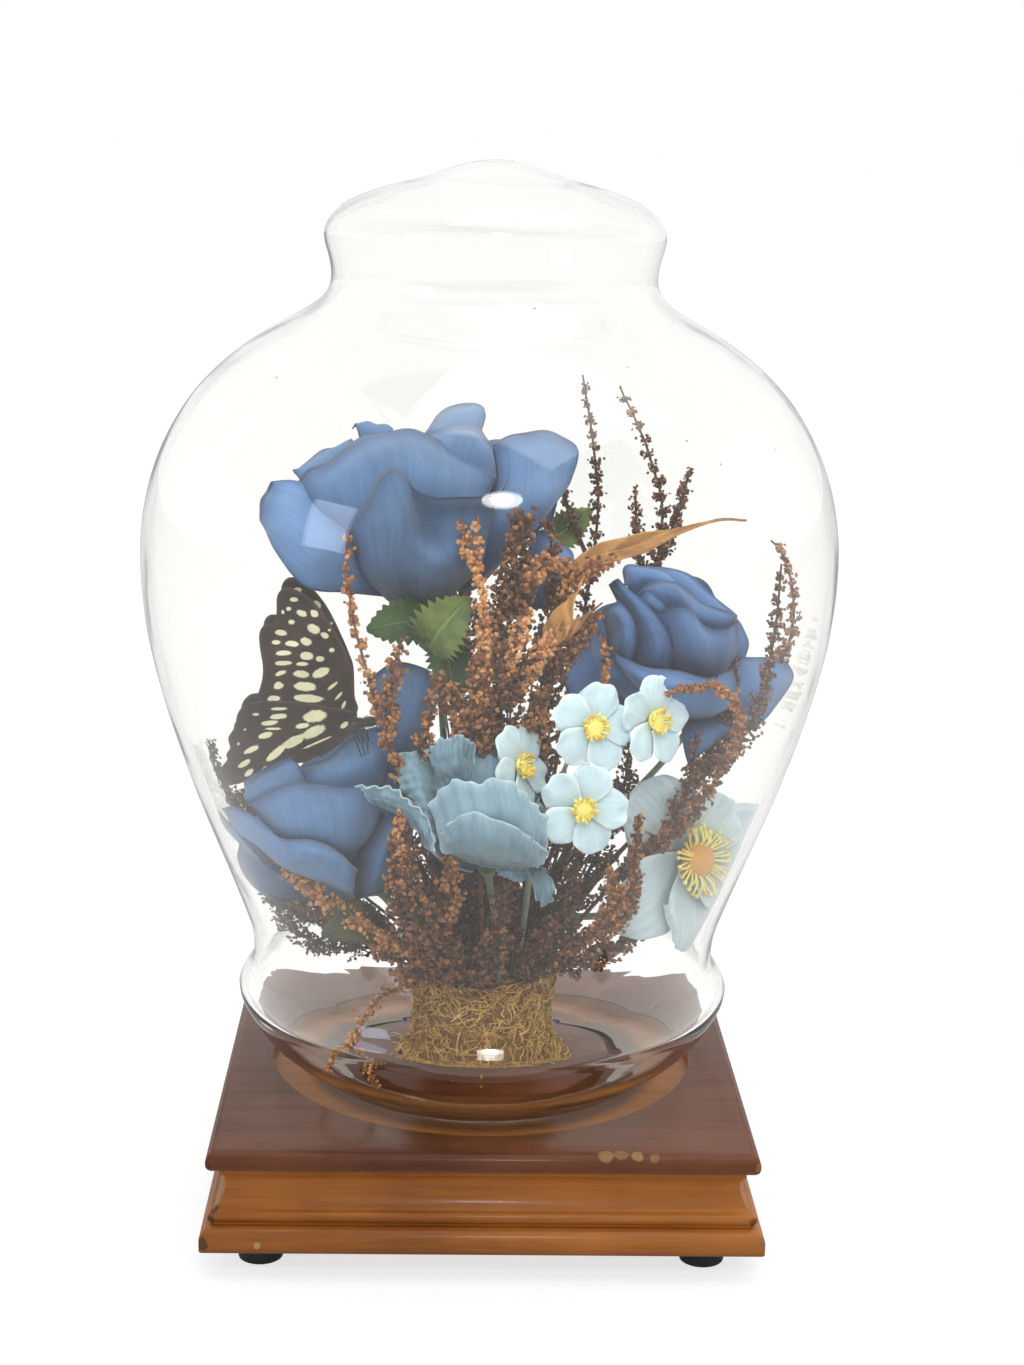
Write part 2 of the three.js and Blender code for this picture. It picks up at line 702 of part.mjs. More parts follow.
function driedBunch(grow) {
  const wider = BUNCH_OUTLINE.map(([r, z], i) => [r && r + grow, z + (i > 1 ? grow : -grow)]);
  const geometry = revolved(wider, BUNCH_SIDES);
  const position = geometry.getAttribute("position");
  for (let i = 0; i < position.count; i += 1) {
    const [x, y, z] = [position.getX(i), position.getY(i), position.getZ(i)];
    const lump = 1 + 0.06 * Math.sin(4 * Math.atan2(y, x) + z * 0.11);
    position.setXYZ(i, x * lump, y * lump, z);
  }
  return geometry;
}
addPart("dried_bunch", DRIED_BROWN, driedBunch, { position: at(2, 2, MOSS_TOP + CLEARANCE) });
addPart("moss_column", MOSS, mossColumn, level(PLINTH_TOP + BOARD_GAP));

for (const stem of stems) addStem(...stem);

// Green silk leaves and dried leaves
addLeaf("leaf_under_rose", LEAF_GREEN, at(-14, -19, 172), { tip: at(-20, -10, 1), halfWidth: 7, sag: 2 });
addLeaf("leaf_bright", LEAF_GREEN, at(-11, -22, 168), { tip: at(9, -12, 12), halfWidth: 7.5, sag: 3 });
addLeaf("leaf_behind_rose", LEAF_GREEN, at(14, 16, 184), { tip: at(16, 4, 14), halfWidth: 5.5, sag: 2 });
addLeaf("leaf_low", LEAF_GREEN, at(-30, -38, 90), { tip: at(-14, -16, 2), halfWidth: 6, sag: 2 });
addLeaf("dried_leaf_long", DRIED_TAN, at(27, -28, 175), {
  tip: at(46, 10, 22),
  halfWidth: 4.2,
  sag: -2.5,
  fold: 0.5,
  along: 6,
});
addLeaf("dried_leaf_short", DRIED_TAN, at(14, -36, 163), { tip: at(14, 2, 22), halfWidth: 4, fold: 0.5 });

// Dried sprays, named by where they stand
const SPRAYS = {
  spray_middle: {
    path: [[4, -14, 70], [4, -30, 110], [3, -42, 150], [6, -42, 190], [8, -38, 206]],
    plume: 7,
  },
  spray_middle_left: {
    path: [[0, -16, 70], [-2, -30, 112], [-5, -42, 150], [-6, -44, 180], [-8, -42, 198]],
    plume: 5,
  },
  spray_middle_right: {
    path: [[9, -12, 70], [14, -26, 120], [16, -34, 160], [17, -30, 186], [15, -28, 203]],
    plume: 5,
  },
  spray_tall_left: {
    path: [[10, 4, 70], [22, 10, 130], [31, 14, 190], [30, 14, 215], [26, 14, 238]],
    plume: 4,
  },
  spray_tall_right: {
    path: [[14, 0, 70], [36, 10, 130], [50, 14, 190], [46, 16, 215], [37, 16, 235]],
    plume: 4.5,
  },
  spray_right: {
    path: [[16, -6, 70], [44, -14, 110], [72, -20, 140], [80, -16, 165], [82, -12, 188]],
    plume: 5,
  },
  spray_far_right: {
    path: [[15, 6, 70], [46, 16, 100], [78, 16, 135], [90, 10, 165], [86, 6, 186], [81, 4, 192]],
    plume: 4.5,
  },
  spray_left: {
    path: [[-8, -12, 70], [-20, -36, 120], [-29, -46, 150], [-37, -46, 178], [-39, -44, 202]],
    plume: 4,
  },
  spray_low_left: {
    path: [[-12, -13, 66], [-22, -42, 88], [-42, -52, 96], [-62, -50, 110]],
    plume: 4.5,
  },
  spray_low_back: {
    path: [[-15, -2, 66], [-34, 0, 78], [-52, 0, 82], [-62, 0, 84]],
    plume: 4,
  },
  spray_far_left: {
    path: [[-16, 5, 68], [-42, 12, 86], [-66, 12, 102], [-80, 8, 116], [-82, 6, 130]],
    plume: 4.5,
  },
  spray_low_middle: {
    path: [[-5, -18, 66], [-12, -44, 88], [-18, -56, 104], [-20, -56, 122]],
    plume: 5,
  },
  spray_low_right: {
    path: [[12, -15, 66], [26, -40, 84], [44, -46, 98], [47, -46, 118]],
    plume: 4,
  },
  spray_right_front: {
    path: [[17, -10, 68], [34, -34, 96], [52, -42, 120], [70, -36, 144]],
    plume: 5,
  },
  spray_floor: {
    path: [[-19, -13, 64], [-30, -22, 62], [-36, -30, 50], [-30, -38, 39.5]],
    plume: 2.6,
  },
  spray_back: {
    path: [[2, 16, 70], [0, 36, 110], [-6, 44, 150], [-10, 42, 185], [-8, 38, 210]],
    plume: 6,
  },
};
for (const [name, spray] of Object.entries(SPRAYS)) addSpray(name, spray);

// Clearing the overlaps
function clearOverlaps() {
  const cavity = solidOf(domeCavity());
  const boxes = parts.map(({ mesh }) => {
    mesh.updateMatrixWorld(true);
    return new THREE.Box3().setFromObject(mesh).expandByScalar(CLEARANCE);
  });
  const grown = parts.map(({ mesh, drawn, cutBy }) =>
    cutBy ? solidOf(drawn(CLEARANCE), mesh.matrixWorld) : null,
  );
  parts.forEach(({ mesh, cutBy }, i) => {
    if (!cutBy) return;
    let solid = solidOf(mesh.geometry, mesh.matrixWorld).intersect(cavity);
    for (let j = 0; j < i; j += 1) {
      if (grown[j] && boxes[i].intersectsBox(boxes[j])) solid = solid.subtract(grown[j]);
    }
    mesh.geometry = geometryOf(largestBody(solid), mesh.matrixWorld.clone().invert());
  });
}
clearOverlaps();

const dome = new THREE.Group();
dome.add(...parts.map(({ mesh }) => mesh));

export default dome;
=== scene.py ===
import math
import random

import bpy
import numpy as np
from mathutils import Matrix, Vector


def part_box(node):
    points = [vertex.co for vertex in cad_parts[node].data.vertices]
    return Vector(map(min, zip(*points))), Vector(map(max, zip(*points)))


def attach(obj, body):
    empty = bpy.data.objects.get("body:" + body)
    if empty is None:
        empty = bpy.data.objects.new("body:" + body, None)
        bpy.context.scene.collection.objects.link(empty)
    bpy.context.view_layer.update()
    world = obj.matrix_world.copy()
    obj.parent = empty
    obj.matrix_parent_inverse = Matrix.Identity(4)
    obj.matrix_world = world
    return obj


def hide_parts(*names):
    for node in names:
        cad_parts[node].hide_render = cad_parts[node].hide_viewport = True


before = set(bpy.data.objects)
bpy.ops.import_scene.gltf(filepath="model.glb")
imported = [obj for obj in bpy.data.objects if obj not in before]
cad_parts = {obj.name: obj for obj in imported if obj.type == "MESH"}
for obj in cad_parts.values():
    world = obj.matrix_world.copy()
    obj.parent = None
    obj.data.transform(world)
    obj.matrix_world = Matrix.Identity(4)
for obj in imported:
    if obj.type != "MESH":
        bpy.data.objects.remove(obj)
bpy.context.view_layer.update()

bl_info = {
    "name": "Butterfly Dome",
    "version": (1, 0, 0),
    "blender": (4, 5, 0),
    "location": "View3D > Sidebar > Butterfly Dome",
    "description": "Dresses a butterfly in a glass dome with glass, silk flowers, dried sprays and wood",
    "category": "Object",
}

MM = 0.001


def node_box(name):
    """The lowest and highest corner of a framed node, in millimetres."""
    low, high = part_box(name)
    return low / MM, high / MM


# Levels in millimetres, taken from the frame
TOP_LOW, TOP_HIGH = node_box("plinth_top")
MOULDING_FOOT = node_box("plinth_moulding")[0].z
BASE_LOW, BASE_HIGH = node_box("plinth_base")
GLASS_HIGH = node_box("glass_dome")[1]
PLINTH_TOP = TOP_HIGH.z
MOSS_TOP = node_box("moss_column")[1].z

# The photograph's frame and the camera that fits it
PHOTO_WIDTH = 1024
PHOTO_HEIGHT = 1365
FOCAL_PIXELS = 2344.5
CAMERA_PLACE = Vector((-11.9, -661.3, 301.1))
CAMERA_YAW = math.radians(1.64)
CAMERA_PITCH = math.radians(12.87)
CAMERA_ROLL = math.radians(1.15)
SENSOR = 36.0


def camera_axes():
    """The camera's right, up and forward directions."""
    forward = Vector((
        math.sin(CAMERA_YAW) * math.cos(CAMERA_PITCH),
        math.cos(CAMERA_YAW) * math.cos(CAMERA_PITCH),
        -math.sin(CAMERA_PITCH),
    ))
    level = Vector((math.cos(CAMERA_YAW), -math.sin(CAMERA_YAW), 0.0))
    rise = level.cross(forward)
    right = level * math.cos(CAMERA_ROLL) + rise * math.sin(CAMERA_ROLL)
    up = rise * math.cos(CAMERA_ROLL) - level * math.sin(CAMERA_ROLL)
    return right, up, forward


RIGHT, UP, FORWARD = camera_axes()


def seen(px, py, depth):
    """The place, in millimetres, that shows at a pixel of the photograph and lies at y = depth."""
    ray = FORWARD + RIGHT * ((px - PHOTO_WIDTH / 2) / FOCAL_PIXELS)
    ray = ray - UP * ((py - PHOTO_HEIGHT / 2) / FOCAL_PIXELS)
    return CAMERA_PLACE + ray * ((depth - CAMERA_PLACE.y) / ray.y)


# Working with pieces

def deselect():
    if bpy.context.object and bpy.context.object.mode != "OBJECT":
        bpy.ops.object.mode_set(mode="OBJECT")
    bpy.ops.object.select_all(action="DESELECT")


def activate(obj):
    """Selects only this object and makes it the active one."""
    deselect()
    obj.select_set(True)
    bpy.context.view_layer.objects.active = obj

def settle(obj):
    """Puts the object's place into its mesh."""
    activate(obj)
    bpy.ops.object.transform_apply(location=True, rotation=True, scale=True)


def apply_modifier(obj, kind, **values):
    activate(obj)
    modifier = obj.modifiers.new(kind.title(), kind)
    for name, value in values.items():
        setattr(modifier, name, value)
    bpy.ops.object.modifier_apply(modifier=modifier.name)


def smooth(obj, degrees=180):
    activate(obj)
    if degrees >= 180:
        bpy.ops.object.shade_smooth()
    else:
        bpy.ops.object.shade_smooth_by_angle(angle=math.radians(degrees))


def open_mesh():
    """Opens the active object's mesh with all of it selected."""
    bpy.ops.object.mode_set(mode="EDIT")
    bpy.ops.mesh.select_all(action="SELECT")

def close_mesh():
    """Turns every face outward and leaves the mesh."""
    bpy.ops.mesh.select_all(action="SELECT")
    bpy.ops.mesh.normals_make_consistent(inside=False)
    bpy.ops.object.mode_set(mode="OBJECT")

def join(objects):
    deselect()
    for obj in objects:
        obj.select_set(True)
    bpy.context.view_layer.objects.active = objects[0]
    if len(objects) > 1:
        bpy.ops.object.join()
    return objects[0]


def finish(obj, name, material, slot, *nodes):
    """Names the piece, gives it its material, and puts it in the frame in place of its nodes."""
    obj.name = name
    obj.data.name = name
    obj.data.materials.clear()
    obj.data.materials.append(material)
    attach(obj, "root")
    if nodes:
        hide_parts(*nodes)
    return obj


def placed(name, data):
    """A new object in the scene that holds the data."""
    obj = bpy.data.objects.new(name, data)
    bpy.context.scene.collection.objects.link(obj)
    return obj

def mesh_object(name, points, faces, tints=None):
    """A new object from points in millimetres."""
    mesh = bpy.data.meshes.new(name)
    mesh.from_pydata((np.asarray(points) * MM).tolist(), [], faces)
    mesh.update()
    obj = placed(name, mesh)
    if tints is not None:
        set_field(obj, "tint", tints)
    return obj


def set_field(obj, name, values):
    """One number for each vertex, which a material can read by name."""
    field = obj.data.attributes.new(name, "FLOAT", "POINT")
    field.data.foreach_set("value", np.asarray(values, float))


def mesh_points(obj):
    points = np.empty(len(obj.data.vertices) * 3)
    obj.data.vertices.foreach_get("co", points)
    return points.reshape(-1, 3)


def move_points(obj, points):
    obj.data.vertices.foreach_set("co", np.ascontiguousarray(points).ravel())
    obj.data.update()


class Heap:
    """Points, faces and tints gathered into one joined mesh."""

    def __init__(self):
        self.points = []
        self.faces = []
        self.tints = []
        self.count = 0

    def add(self, points, faces, tint):
        points = np.asarray(points, float)
        start = self.count
        self.points.append(points)
        self.faces.extend([tuple(start + i for i in face) for face in faces])
        self.tints.append(np.full(len(points), tint))
        self.count += len(points)

    def build(self, name):
        return mesh_object(name, np.concatenate(self.points), self.faces, np.concatenate(self.tints))


def between(a, b, c, d, t):
    """A place on the smooth curve from b to c."""
    return 0.5 * (2 * b + (c - a) * t + (2 * a - 5 * b + 4 * c - d) * t**2 + (3 * b - a - 3 * c + d) * t**3)

def evened(fine, count, closed=False):
    """Even samples along a fine line."""
    length = np.concatenate([[0], np.cumsum(np.linalg.norm(np.diff(fine, axis=0), axis=1))])
    even = np.linspace(0, length[-1], count, endpoint=not closed)
    return np.stack([np.interp(even, length, fine[:, k]) for k in range(fine.shape[1])], axis=1)

def spline(points, count):
    """Even samples along a smooth curve through the given points."""
    knots = np.asarray([tuple(p) for p in points], float)
    if len(knots) == 2:
        return knots[0] + np.linspace(0, 1, count)[:, None] * (knots[1] - knots[0])
    ends = np.vstack([2 * knots[0] - knots[1], knots, 2 * knots[-1] - knots[-2]])
    place = np.linspace(0, len(knots) - 1, 20 * len(knots))
    index = np.minimum(place.astype(int), len(knots) - 2)
    t = (place - index)[:, None]
    a, b, c, d = (ends[index + k] for k in range(4))
    return evened(between(a, b, c, d, t), count)


def rod(points, radii, sides):
    """A closed round rod along points, as (vertices, faces)."""
    points = np.asarray(points, float)
    radii = np.broadcast_to(radii, len(points))
    tangents = np.gradient(points, axis=0)
    tangents /= np.linalg.norm(tangents, axis=1)[:, None] + 1e-9
    across = np.cross(tangents[0], (0.31, 0.87, 0.39))
    rings = []
    for point, tangent, radius in zip(points, tangents, radii):
        across = across - tangent * across.dot(tangent)
        across = across / (np.linalg.norm(across) + 1e-9)
        over = np.cross(tangent, across)
        for k in range(sides):
            angle = 2 * math.pi * k / sides
            rings.append(point + radius * (math.cos(angle) * across + math.sin(angle) * over))
    faces = []
    for i in range(len(points) - 1):
        for k in range(sides):
            a, b = i * sides + k, i * sides + (k + 1) % sides
            faces.append((a, b, b + sides, a + sides))
    faces.append(tuple(range(sides - 1, -1, -1)))
    last = (len(points) - 1) * sides
    faces.append(tuple(range(last, last + sides)))
    return np.array(rings), faces


# Shader parts

def add(tree, kind, settings=None, **inputs):
    """A new node, with its settings and its inputs given by name, underscores standing for spaces."""
    node = tree.nodes.new(kind)
    for name, value in (settings or {}).items():
        setattr(node, name, value)
    for name, value in inputs.items():
        socket = node.inputs[int(name[2:])] if name.startswith("n_") else node.inputs[name.replace("_", " ")]
        if isinstance(value, bpy.types.NodeSocket):
            tree.links.new(value, socket)
        else:
            socket.default_value = value
    return node


def ramp(tree, factor, stops):
    node = add(tree, "ShaderNodeValToRGB", Fac=factor)
    elements = node.color_ramp.elements
    while len(elements) < len(stops):
        elements.new(0.5)
    for element, (place, colour) in zip(elements, stops):
        element.position = place
        element.color = (*colour, 1.0)
    return node.outputs["Color"]


def grey(value):
    return (value, value, value)


def blend(tree, kind, factor, a, b):
    node = add(tree, "ShaderNodeMix", {"data_type": "RGBA", "blend_type": kind})
    for socket, value in ((node.inputs[0], factor), (node.inputs[6], a), (node.inputs[7], b)):
        if isinstance(value, bpy.types.NodeSocket):
            tree.links.new(value, socket)
        elif socket.type == "RGBA":
            socket.default_value = (*value, 1.0)
        else:
            socket.default_value = value
    return node.outputs[2]


def reckon(tree, operation, a, b=0.0):
    return add(tree, "ShaderNodeMath", {"operation": operation}, n_0=a, n_1=b).outputs[0]


def mix(tree, factor, a, b):
    return blend(tree, "MIX", factor, a, b)

def plus(tree, a, b):
    return reckon(tree, "ADD", a, b)

def minus(tree, a, b):
    return reckon(tree, "SUBTRACT", a, b)

def times(tree, a, b):
    return reckon(tree, "MULTIPLY", a, b)

def step_down(tree, value, low, high):
    """1 at low and 0 at high, eased between them."""
    return minus(tree, 1.0, step_up(tree, value, low, high))

def step_up(tree, value, low, high):
    node = add(tree, "ShaderNodeMapRange", {"interpolation_type": "SMOOTHSTEP"}, Value=value)
    node.inputs["From Min"].default_value = low
    node.inputs["From Max"].default_value = high
    return node.outputs["Result"]


def noise(tree, vector, scale, detail=4.0, roughness=0.5, distortion=0.0):
    node = add(tree, "ShaderNodeTexNoise", Vector=vector)
    node.inputs["Scale"].default_value = scale
    node.inputs["Detail"].default_value = detail
    node.inputs["Roughness"].default_value = roughness
    node.inputs["Distortion"].default_value = distortion
    return node.outputs["Fac"]


def stretched(tree, vector, scale):
    return add(tree, "ShaderNodeMapping", Vector=vector, Scale=scale).outputs["Vector"]


def object_place(tree):
    return add(tree, "ShaderNodeTexCoord").outputs["Object"]


def field(tree, name):
    return add(tree, "ShaderNodeAttribute", {"attribute_name": name}).outputs["Fac"]


def material(name, **constants):
    made = bpy.data.materials.new(name)
    made.use_nodes = True
    surface = made.node_tree.nodes["Principled BSDF"]
    for socket, value in constants.items():
        surface.inputs[socket.replace("_", " ")].default_value = value
    return made, made.node_tree, surface


def bump(tree, surface, height, strength, distance):
    node = add(tree, "ShaderNodeBump", Height=height, Strength=strength, Distance=distance)
    tree.links.new(node.outputs["Normal"], surface.inputs["Normal"])


def new_group(name, inputs, outputs):
    """An empty shader node group with its named sockets, its input node and its output node."""
    group = bpy.data.node_groups.new(name, "ShaderNodeTree")
    for socket, kind, value in inputs:
        group.interface.new_socket(name=socket, in_out="INPUT", socket_type=kind).default_value = value
    for socket, kind in outputs:
        group.interface.new_socket(name=socket, in_out="OUTPUT", socket_type=kind)
    return group, group.nodes.new("NodeGroupInput"), group.nodes.new("NodeGroupOutput")


def seen_directly(tree):
    """1 for rays from the camera, also through glass, and 0 for the light that falls on things."""
    rays = add(tree, "ShaderNodeLightPath").outputs
    return reckon(tree, "MAXIMUM", rays["Is Camera Ray"], rays["Is Transmission Ray"])

def use_group(tree, group, **inputs):
    return add(tree, "ShaderNodeGroup", {"node_tree": group}, **inputs)


def petal_cloth_group():
    """Petal cloth: a darker dyed rim, painted shade that darkens each petal towards its foot, painted light
    and shade per petal from the tint field, streaks along the petal, mottled dye and the weave.
    """
    group, inside, outside = new_group(
        "Petal cloth",
        [("Body", "NodeSocketColor", (0.2, 0.3, 0.5, 1)), ("Rim", "NodeSocketColor", (0.05, 0.08, 0.15, 1)),
         ("Foot", "NodeSocketColor", (0.1, 0.15, 0.3, 1)), ("RimWidth", "NodeSocketFloat", 0.05)],
        [("Colour", "NodeSocketColor"), ("Height", "NodeSocketFloat")],
    )
    tree = group
    coordinates = add(tree, "ShaderNodeTexCoord")
    place = coordinates.outputs["Object"]
    uv = add(tree, "ShaderNodeSeparateXYZ", Vector=coordinates.outputs["UV"])
    across, along = uv.outputs["X"], uv.outputs["Y"]
    side = reckon(tree, "ABSOLUTE", minus(tree, across, 0.5))
    wander = times(tree, noise(tree, place, 180.0, 3.0), 0.03)
    from_side = minus(tree, minus(tree, 0.515, side), wander)
    from_tip = minus(tree, minus(tree, 1.015, along), wander)
    edge = reckon(tree, "MINIMUM", from_side, from_tip)
    rim = reckon(tree, "DIVIDE", edge, inside.outputs["RimWidth"])
    line = step_down(tree, rim, 0.35, 0.6)
    haze = step_down(tree, rim, 0.0, 3.2)
    rim = reckon(tree, "MAXIMUM", times(tree, line, 0.95), times(tree, haze, 0.5))
    # The tint field is painted light and shade: it lifts or lowers each petal's brightness, set per petal
    # with a small random spread; the streaks and dye are the cloth's own.
    tone = field(tree, "tint")
    streaks = noise(tree, stretched(tree, coordinates.outputs["UV"], (42.0, 2.0, 1.0)), 1.0, 4.0, 0.6)
    dye = noise(tree, place, 75.0, 6.0, 0.62)
    shade = plus(tree, times(tree, streaks, 0.5), times(tree, dye, 0.5))
    shade = plus(tree, times(tree, shade, 1.2), times(tree, tone, 0.8))
    light = add(tree, "ShaderNodeMapRange", Value=shade)
    light.inputs["From Min"].default_value = 0.5
    light.inputs["From Max"].default_value = 1.5
    light.inputs["To Min"].default_value = 0.5
    light.inputs["To Max"].default_value = 1.5
    # Painted shade: the colour darkens from Body to Foot towards each petal's foot, where shade falls deep in
    # the flower.
    foot = step_down(tree, along, 0.0, 0.62)
    colour = mix(tree, foot, inside.outputs["Body"], inside.outputs["Foot"])
    colour = mix(tree, rim, colour, inside.outputs["Rim"])
    colour = blend(tree, "MULTIPLY", 1.0, colour, light.outputs["Result"])
    threads = noise(tree, place, 2600.0, 2.0)
    height = plus(tree, times(tree, threads, 0.1), streaks)
    tree.links.new(colour, outside.inputs["Colour"])
    tree.links.new(height, outside.inputs["Height"])
    return group


def wood_grain_group():
    """Varnished wood: grain along the nearest side, pores, stains and gloss, from Object coordinates."""
    group, inside, outside = new_group(
        "Wood grain",
        [("Light", "NodeSocketColor", (0.4, 0.2, 0.08, 1)),
         ("Dark", "NodeSocketColor", (0.15, 0.06, 0.03, 1)),
         ("Stain", "NodeSocketFloat", 0.5)],
        [("Colour", "NodeSocketColor"), ("Height", "NodeSocketFloat"), ("Gloss", "NodeSocketFloat")],
    )
    tree = group
    place = add(tree, "ShaderNodeTexCoord").outputs["Object"]
    normal = add(tree, "ShaderNodeSeparateXYZ", Vector=add(tree, "ShaderNodeNewGeometry").outputs["Normal"])
    sideways = reckon(tree, "GREATER_THAN", reckon(tree, "ABSOLUTE", normal.outputs["X"]), 0.55)
    along_x = noise(tree, stretched(tree, place, (9.0, 160.0, 160.0)), 1.0, 8.0, 0.62, 0.6)
    along_y = noise(tree, stretched(tree, place, (160.0, 9.0, 160.0)), 1.0, 8.0, 0.62, 0.6)
    grain = add(tree, "ShaderNodeMix", {"data_type": "FLOAT"}, n_0=sideways, n_2=along_x,
                n_3=along_y).outputs[0]
    fine_x = noise(tree, stretched(tree, place, (40.0, 900.0, 900.0)), 1.0, 3.0)
    fine_y = noise(tree, stretched(tree, place, (900.0, 40.0, 900.0)), 1.0, 3.0)
    pores = add(tree, "ShaderNodeMix", {"data_type": "FLOAT"}, n_0=sideways, n_2=fine_x,
                n_3=fine_y).outputs[0]
    stain = noise(tree, place, 16.0, 4.0, 0.55)
    mixed = plus(tree, times(tree, grain, 0.75), times(tree, pores, 0.25))
    mixed = plus(tree, mixed, times(tree, minus(tree, stain, 0.5), inside.outputs["Stain"]))
    colour = mix(tree, step_up(tree, mixed, 0.3, 0.7), inside.outputs["Dark"], inside.outputs["Light"])
    tree.links.new(colour, outside.inputs["Colour"])
    tree.links.new(plus(tree, times(tree, grain, 0.6), pores), outside.inputs["Height"])
    gloss = add(tree, "ShaderNodeMapRange", Value=stain)
    gloss.inputs["To Min"].default_value = 0.3
    gloss.inputs["To Max"].default_value = 0.55
    tree.links.new(gloss.outputs["Result"], outside.inputs["Gloss"])
    return group


PETAL_CLOTH = petal_cloth_group()
WOOD_GRAIN = wood_grain_group()


def silk(name, body, rim, foot, rim_width, sheen):
    made, tree, surface = material(name, Roughness=0.72, Sheen_Weight=sheen, Specular_IOR_Level=0.3)
    surface.inputs["Subsurface Weight"].default_value = 0.12
    surface.inputs["Subsurface Radius"].default_value = (0.004, 0.004, 0.005)
    surface.inputs["Subsurface Scale"].default_value = 0.4
    # The foot colour is painted shade, blended in towards each petal's foot.
    cloth = use_group(tree, PETAL_CLOTH, Body=(*body, 1), Rim=(*rim, 1), Foot=(*foot, 1), RimWidth=rim_width)
    tree.links.new(cloth.outputs["Colour"], surface.inputs["Base Color"])
    bump(tree, surface, cloth.outputs["Height"], 0.25, 0.0006)
    return made


def near(tree, place, centre, radius, wobble=0.35):
    """A ragged spot round a place, 1 inside and 0 outside."""
    far = add(tree, "ShaderNodeVectorMath", {"operation": "DISTANCE"}, n_0=place,
              n_1=tuple(c * MM for c in centre))
    ragged = times(tree, minus(tree, noise(tree, place, 420.0, 4.0), 0.5), wobble)
    share = plus(tree, reckon(tree, "DIVIDE", far.outputs["Value"], radius * MM), ragged)
    return step_down(tree, share, 0.7, 0.95)


def varnished(name, light, dark, chips, stain=0.8, bare=(0.42, 0.24, 0.1)):
    made, tree, surface = material(name, Coat_Weight=0.16, Coat_Roughness=0.16, Specular_IOR_Level=0.22)
    grain = use_group(tree, WOOD_GRAIN, Light=(*light, 1), Dark=(*dark, 1), Stain=stain)
    colour = grain.outputs["Colour"]
    place = object_place(tree)
    height = grain.outputs["Height"]
    for centre, radius, shade in chips:
        spot = near(tree, place, centre, radius, 1.1)
        colour = mix(tree, times(tree, spot, 0.8), colour, shade)
        height = minus(tree, height, times(tree, spot, 1.5))
    scuffs = step_up(tree, noise(tree, stretched(tree, place, (60.0, 60.0, 240.0)), 1.0, 6.0, 0.7), 0.64,
                     0.72)
    colour = mix(tree, times(tree, scuffs, 0.18), colour, bare)
    tree.links.new(colour, surface.inputs["Base Color"])
    tree.links.new(grain.outputs["Gloss"], surface.inputs["Roughness"])
    bump(tree, surface, height, 0.18, 0.0004)
    return made, tree, surface, colour


def top_wood():
    """The plinth's dark top, with the lighter unstained floor of its groove, darkened by painted shade inward
    of 48 to 54 mm, under the glass.
    """
    chips = [((33, -73.6, PLINTH_TOP), 2.6, (0.34, 0.17, 0.07)),
             ((37, -73, PLINTH_TOP), 2.4, (0.3, 0.14, 0.06)),
             ((41.5, -73.6, PLINTH_TOP), 2.0, (0.36, 0.2, 0.09)),
             ((46, -74, PLINTH_TOP - 0.6), 1.6, (0.28, 0.13, 0.05)),
             ((74.6, -74.6, PLINTH_TOP - 3), 1.5, (0.3, 0.14, 0.06)),
             ((-74.6, -74.6, PLINTH_TOP - 4), 2.0, (0.07, 0.03, 0.02))]
    made, tree, surface, colour = varnished("Top board wood", (0.17, 0.052, 0.02), (0.085, 0.024, 0.009),
                                            chips, 1.0)
    place = object_place(tree)
    parts = add(tree, "ShaderNodeSeparateXYZ", Vector=place)
    flat = add(tree, "ShaderNodeCombineXYZ", X=parts.outputs["X"], Y=parts.outputs["Y"])
    radius = add(tree, "ShaderNodeVectorMath", {"operation": "LENGTH"},
                 n_0=flat.outputs["Vector"]).outputs["Value"]
    inside = reckon(tree, "LESS_THAN", radius, GROOVE_OUTER * MM + 0.0004)
    inside = times(tree, inside, reckon(tree, "GREATER_THAN", radius, GROOVE_INNER * MM - 0.0002))
    low = reckon(tree, "LESS_THAN", parts.outputs["Z"], (PLINTH_TOP - 0.5) * MM)
    bare = mix(tree, noise(tree, stretched(tree, place, (12.0, 220.0, 220.0)), 1.0, 6.0, 0.6),
                 (0.2, 0.062, 0.012), (0.52, 0.2, 0.045))
    # Painted shade: the groove floor goes dark inward of 48 to 54 mm, where the glass's foot shades the
    # recess.
    shaded = step_down(tree, radius, 48 * MM, 54 * MM)
    bare = mix(tree, times(tree, shaded, 0.85), bare, (0.07, 0.022, 0.009))
    groove = times(tree, inside, low)
    worn = times(tree, step_up(tree, parts.outputs["Z"], (PLINTH_TOP - 4) * MM, (PLINTH_TOP - 6) * MM), 0.7)
    colour = mix(tree, worn, colour, (0.3, 0.125, 0.05))
    tree.links.new(mix(tree, groove, colour, bare), surface.inputs["Base Color"])
    return made


def frame_wood():
    """The lighter moulded frame and base board."""
    chips = [((-73.2, -73.2, 21), 2.6, (0.06, 0.025, 0.015)), ((-74, -74, 16.5), 1.8, (0.08, 0.03, 0.018)),
             ((73.4, -73.6, 22), 2.4, (0.4, 0.2, 0.08)), ((74, -74, 17), 2.0, (0.1, 0.045, 0.02)),
             ((-76, -76.5, 11), 2.2, (0.07, 0.03, 0.02)), ((-61, -76.8, 10.6), 1.1, (0.5, 0.33, 0.18)),
             ((76.5, -76.5, 12.5), 1.7, (0.3, 0.16, 0.07))]
    made, tree, surface, colour = varnished("Frame wood", (0.47, 0.165, 0.03), (0.27, 0.085, 0.015), chips,
                                            0.9)
    height = add(tree, "ShaderNodeSeparateXYZ", Vector=object_place(tree)).outputs["Z"]
    base = step_down(tree, height, 7.6 * MM, 10.4 * MM)
    tree.links.new(mix(tree, times(tree, base, 0.55), colour, (0.12, 0.04, 0.022)),
                   surface.inputs["Base Color"])
    return made


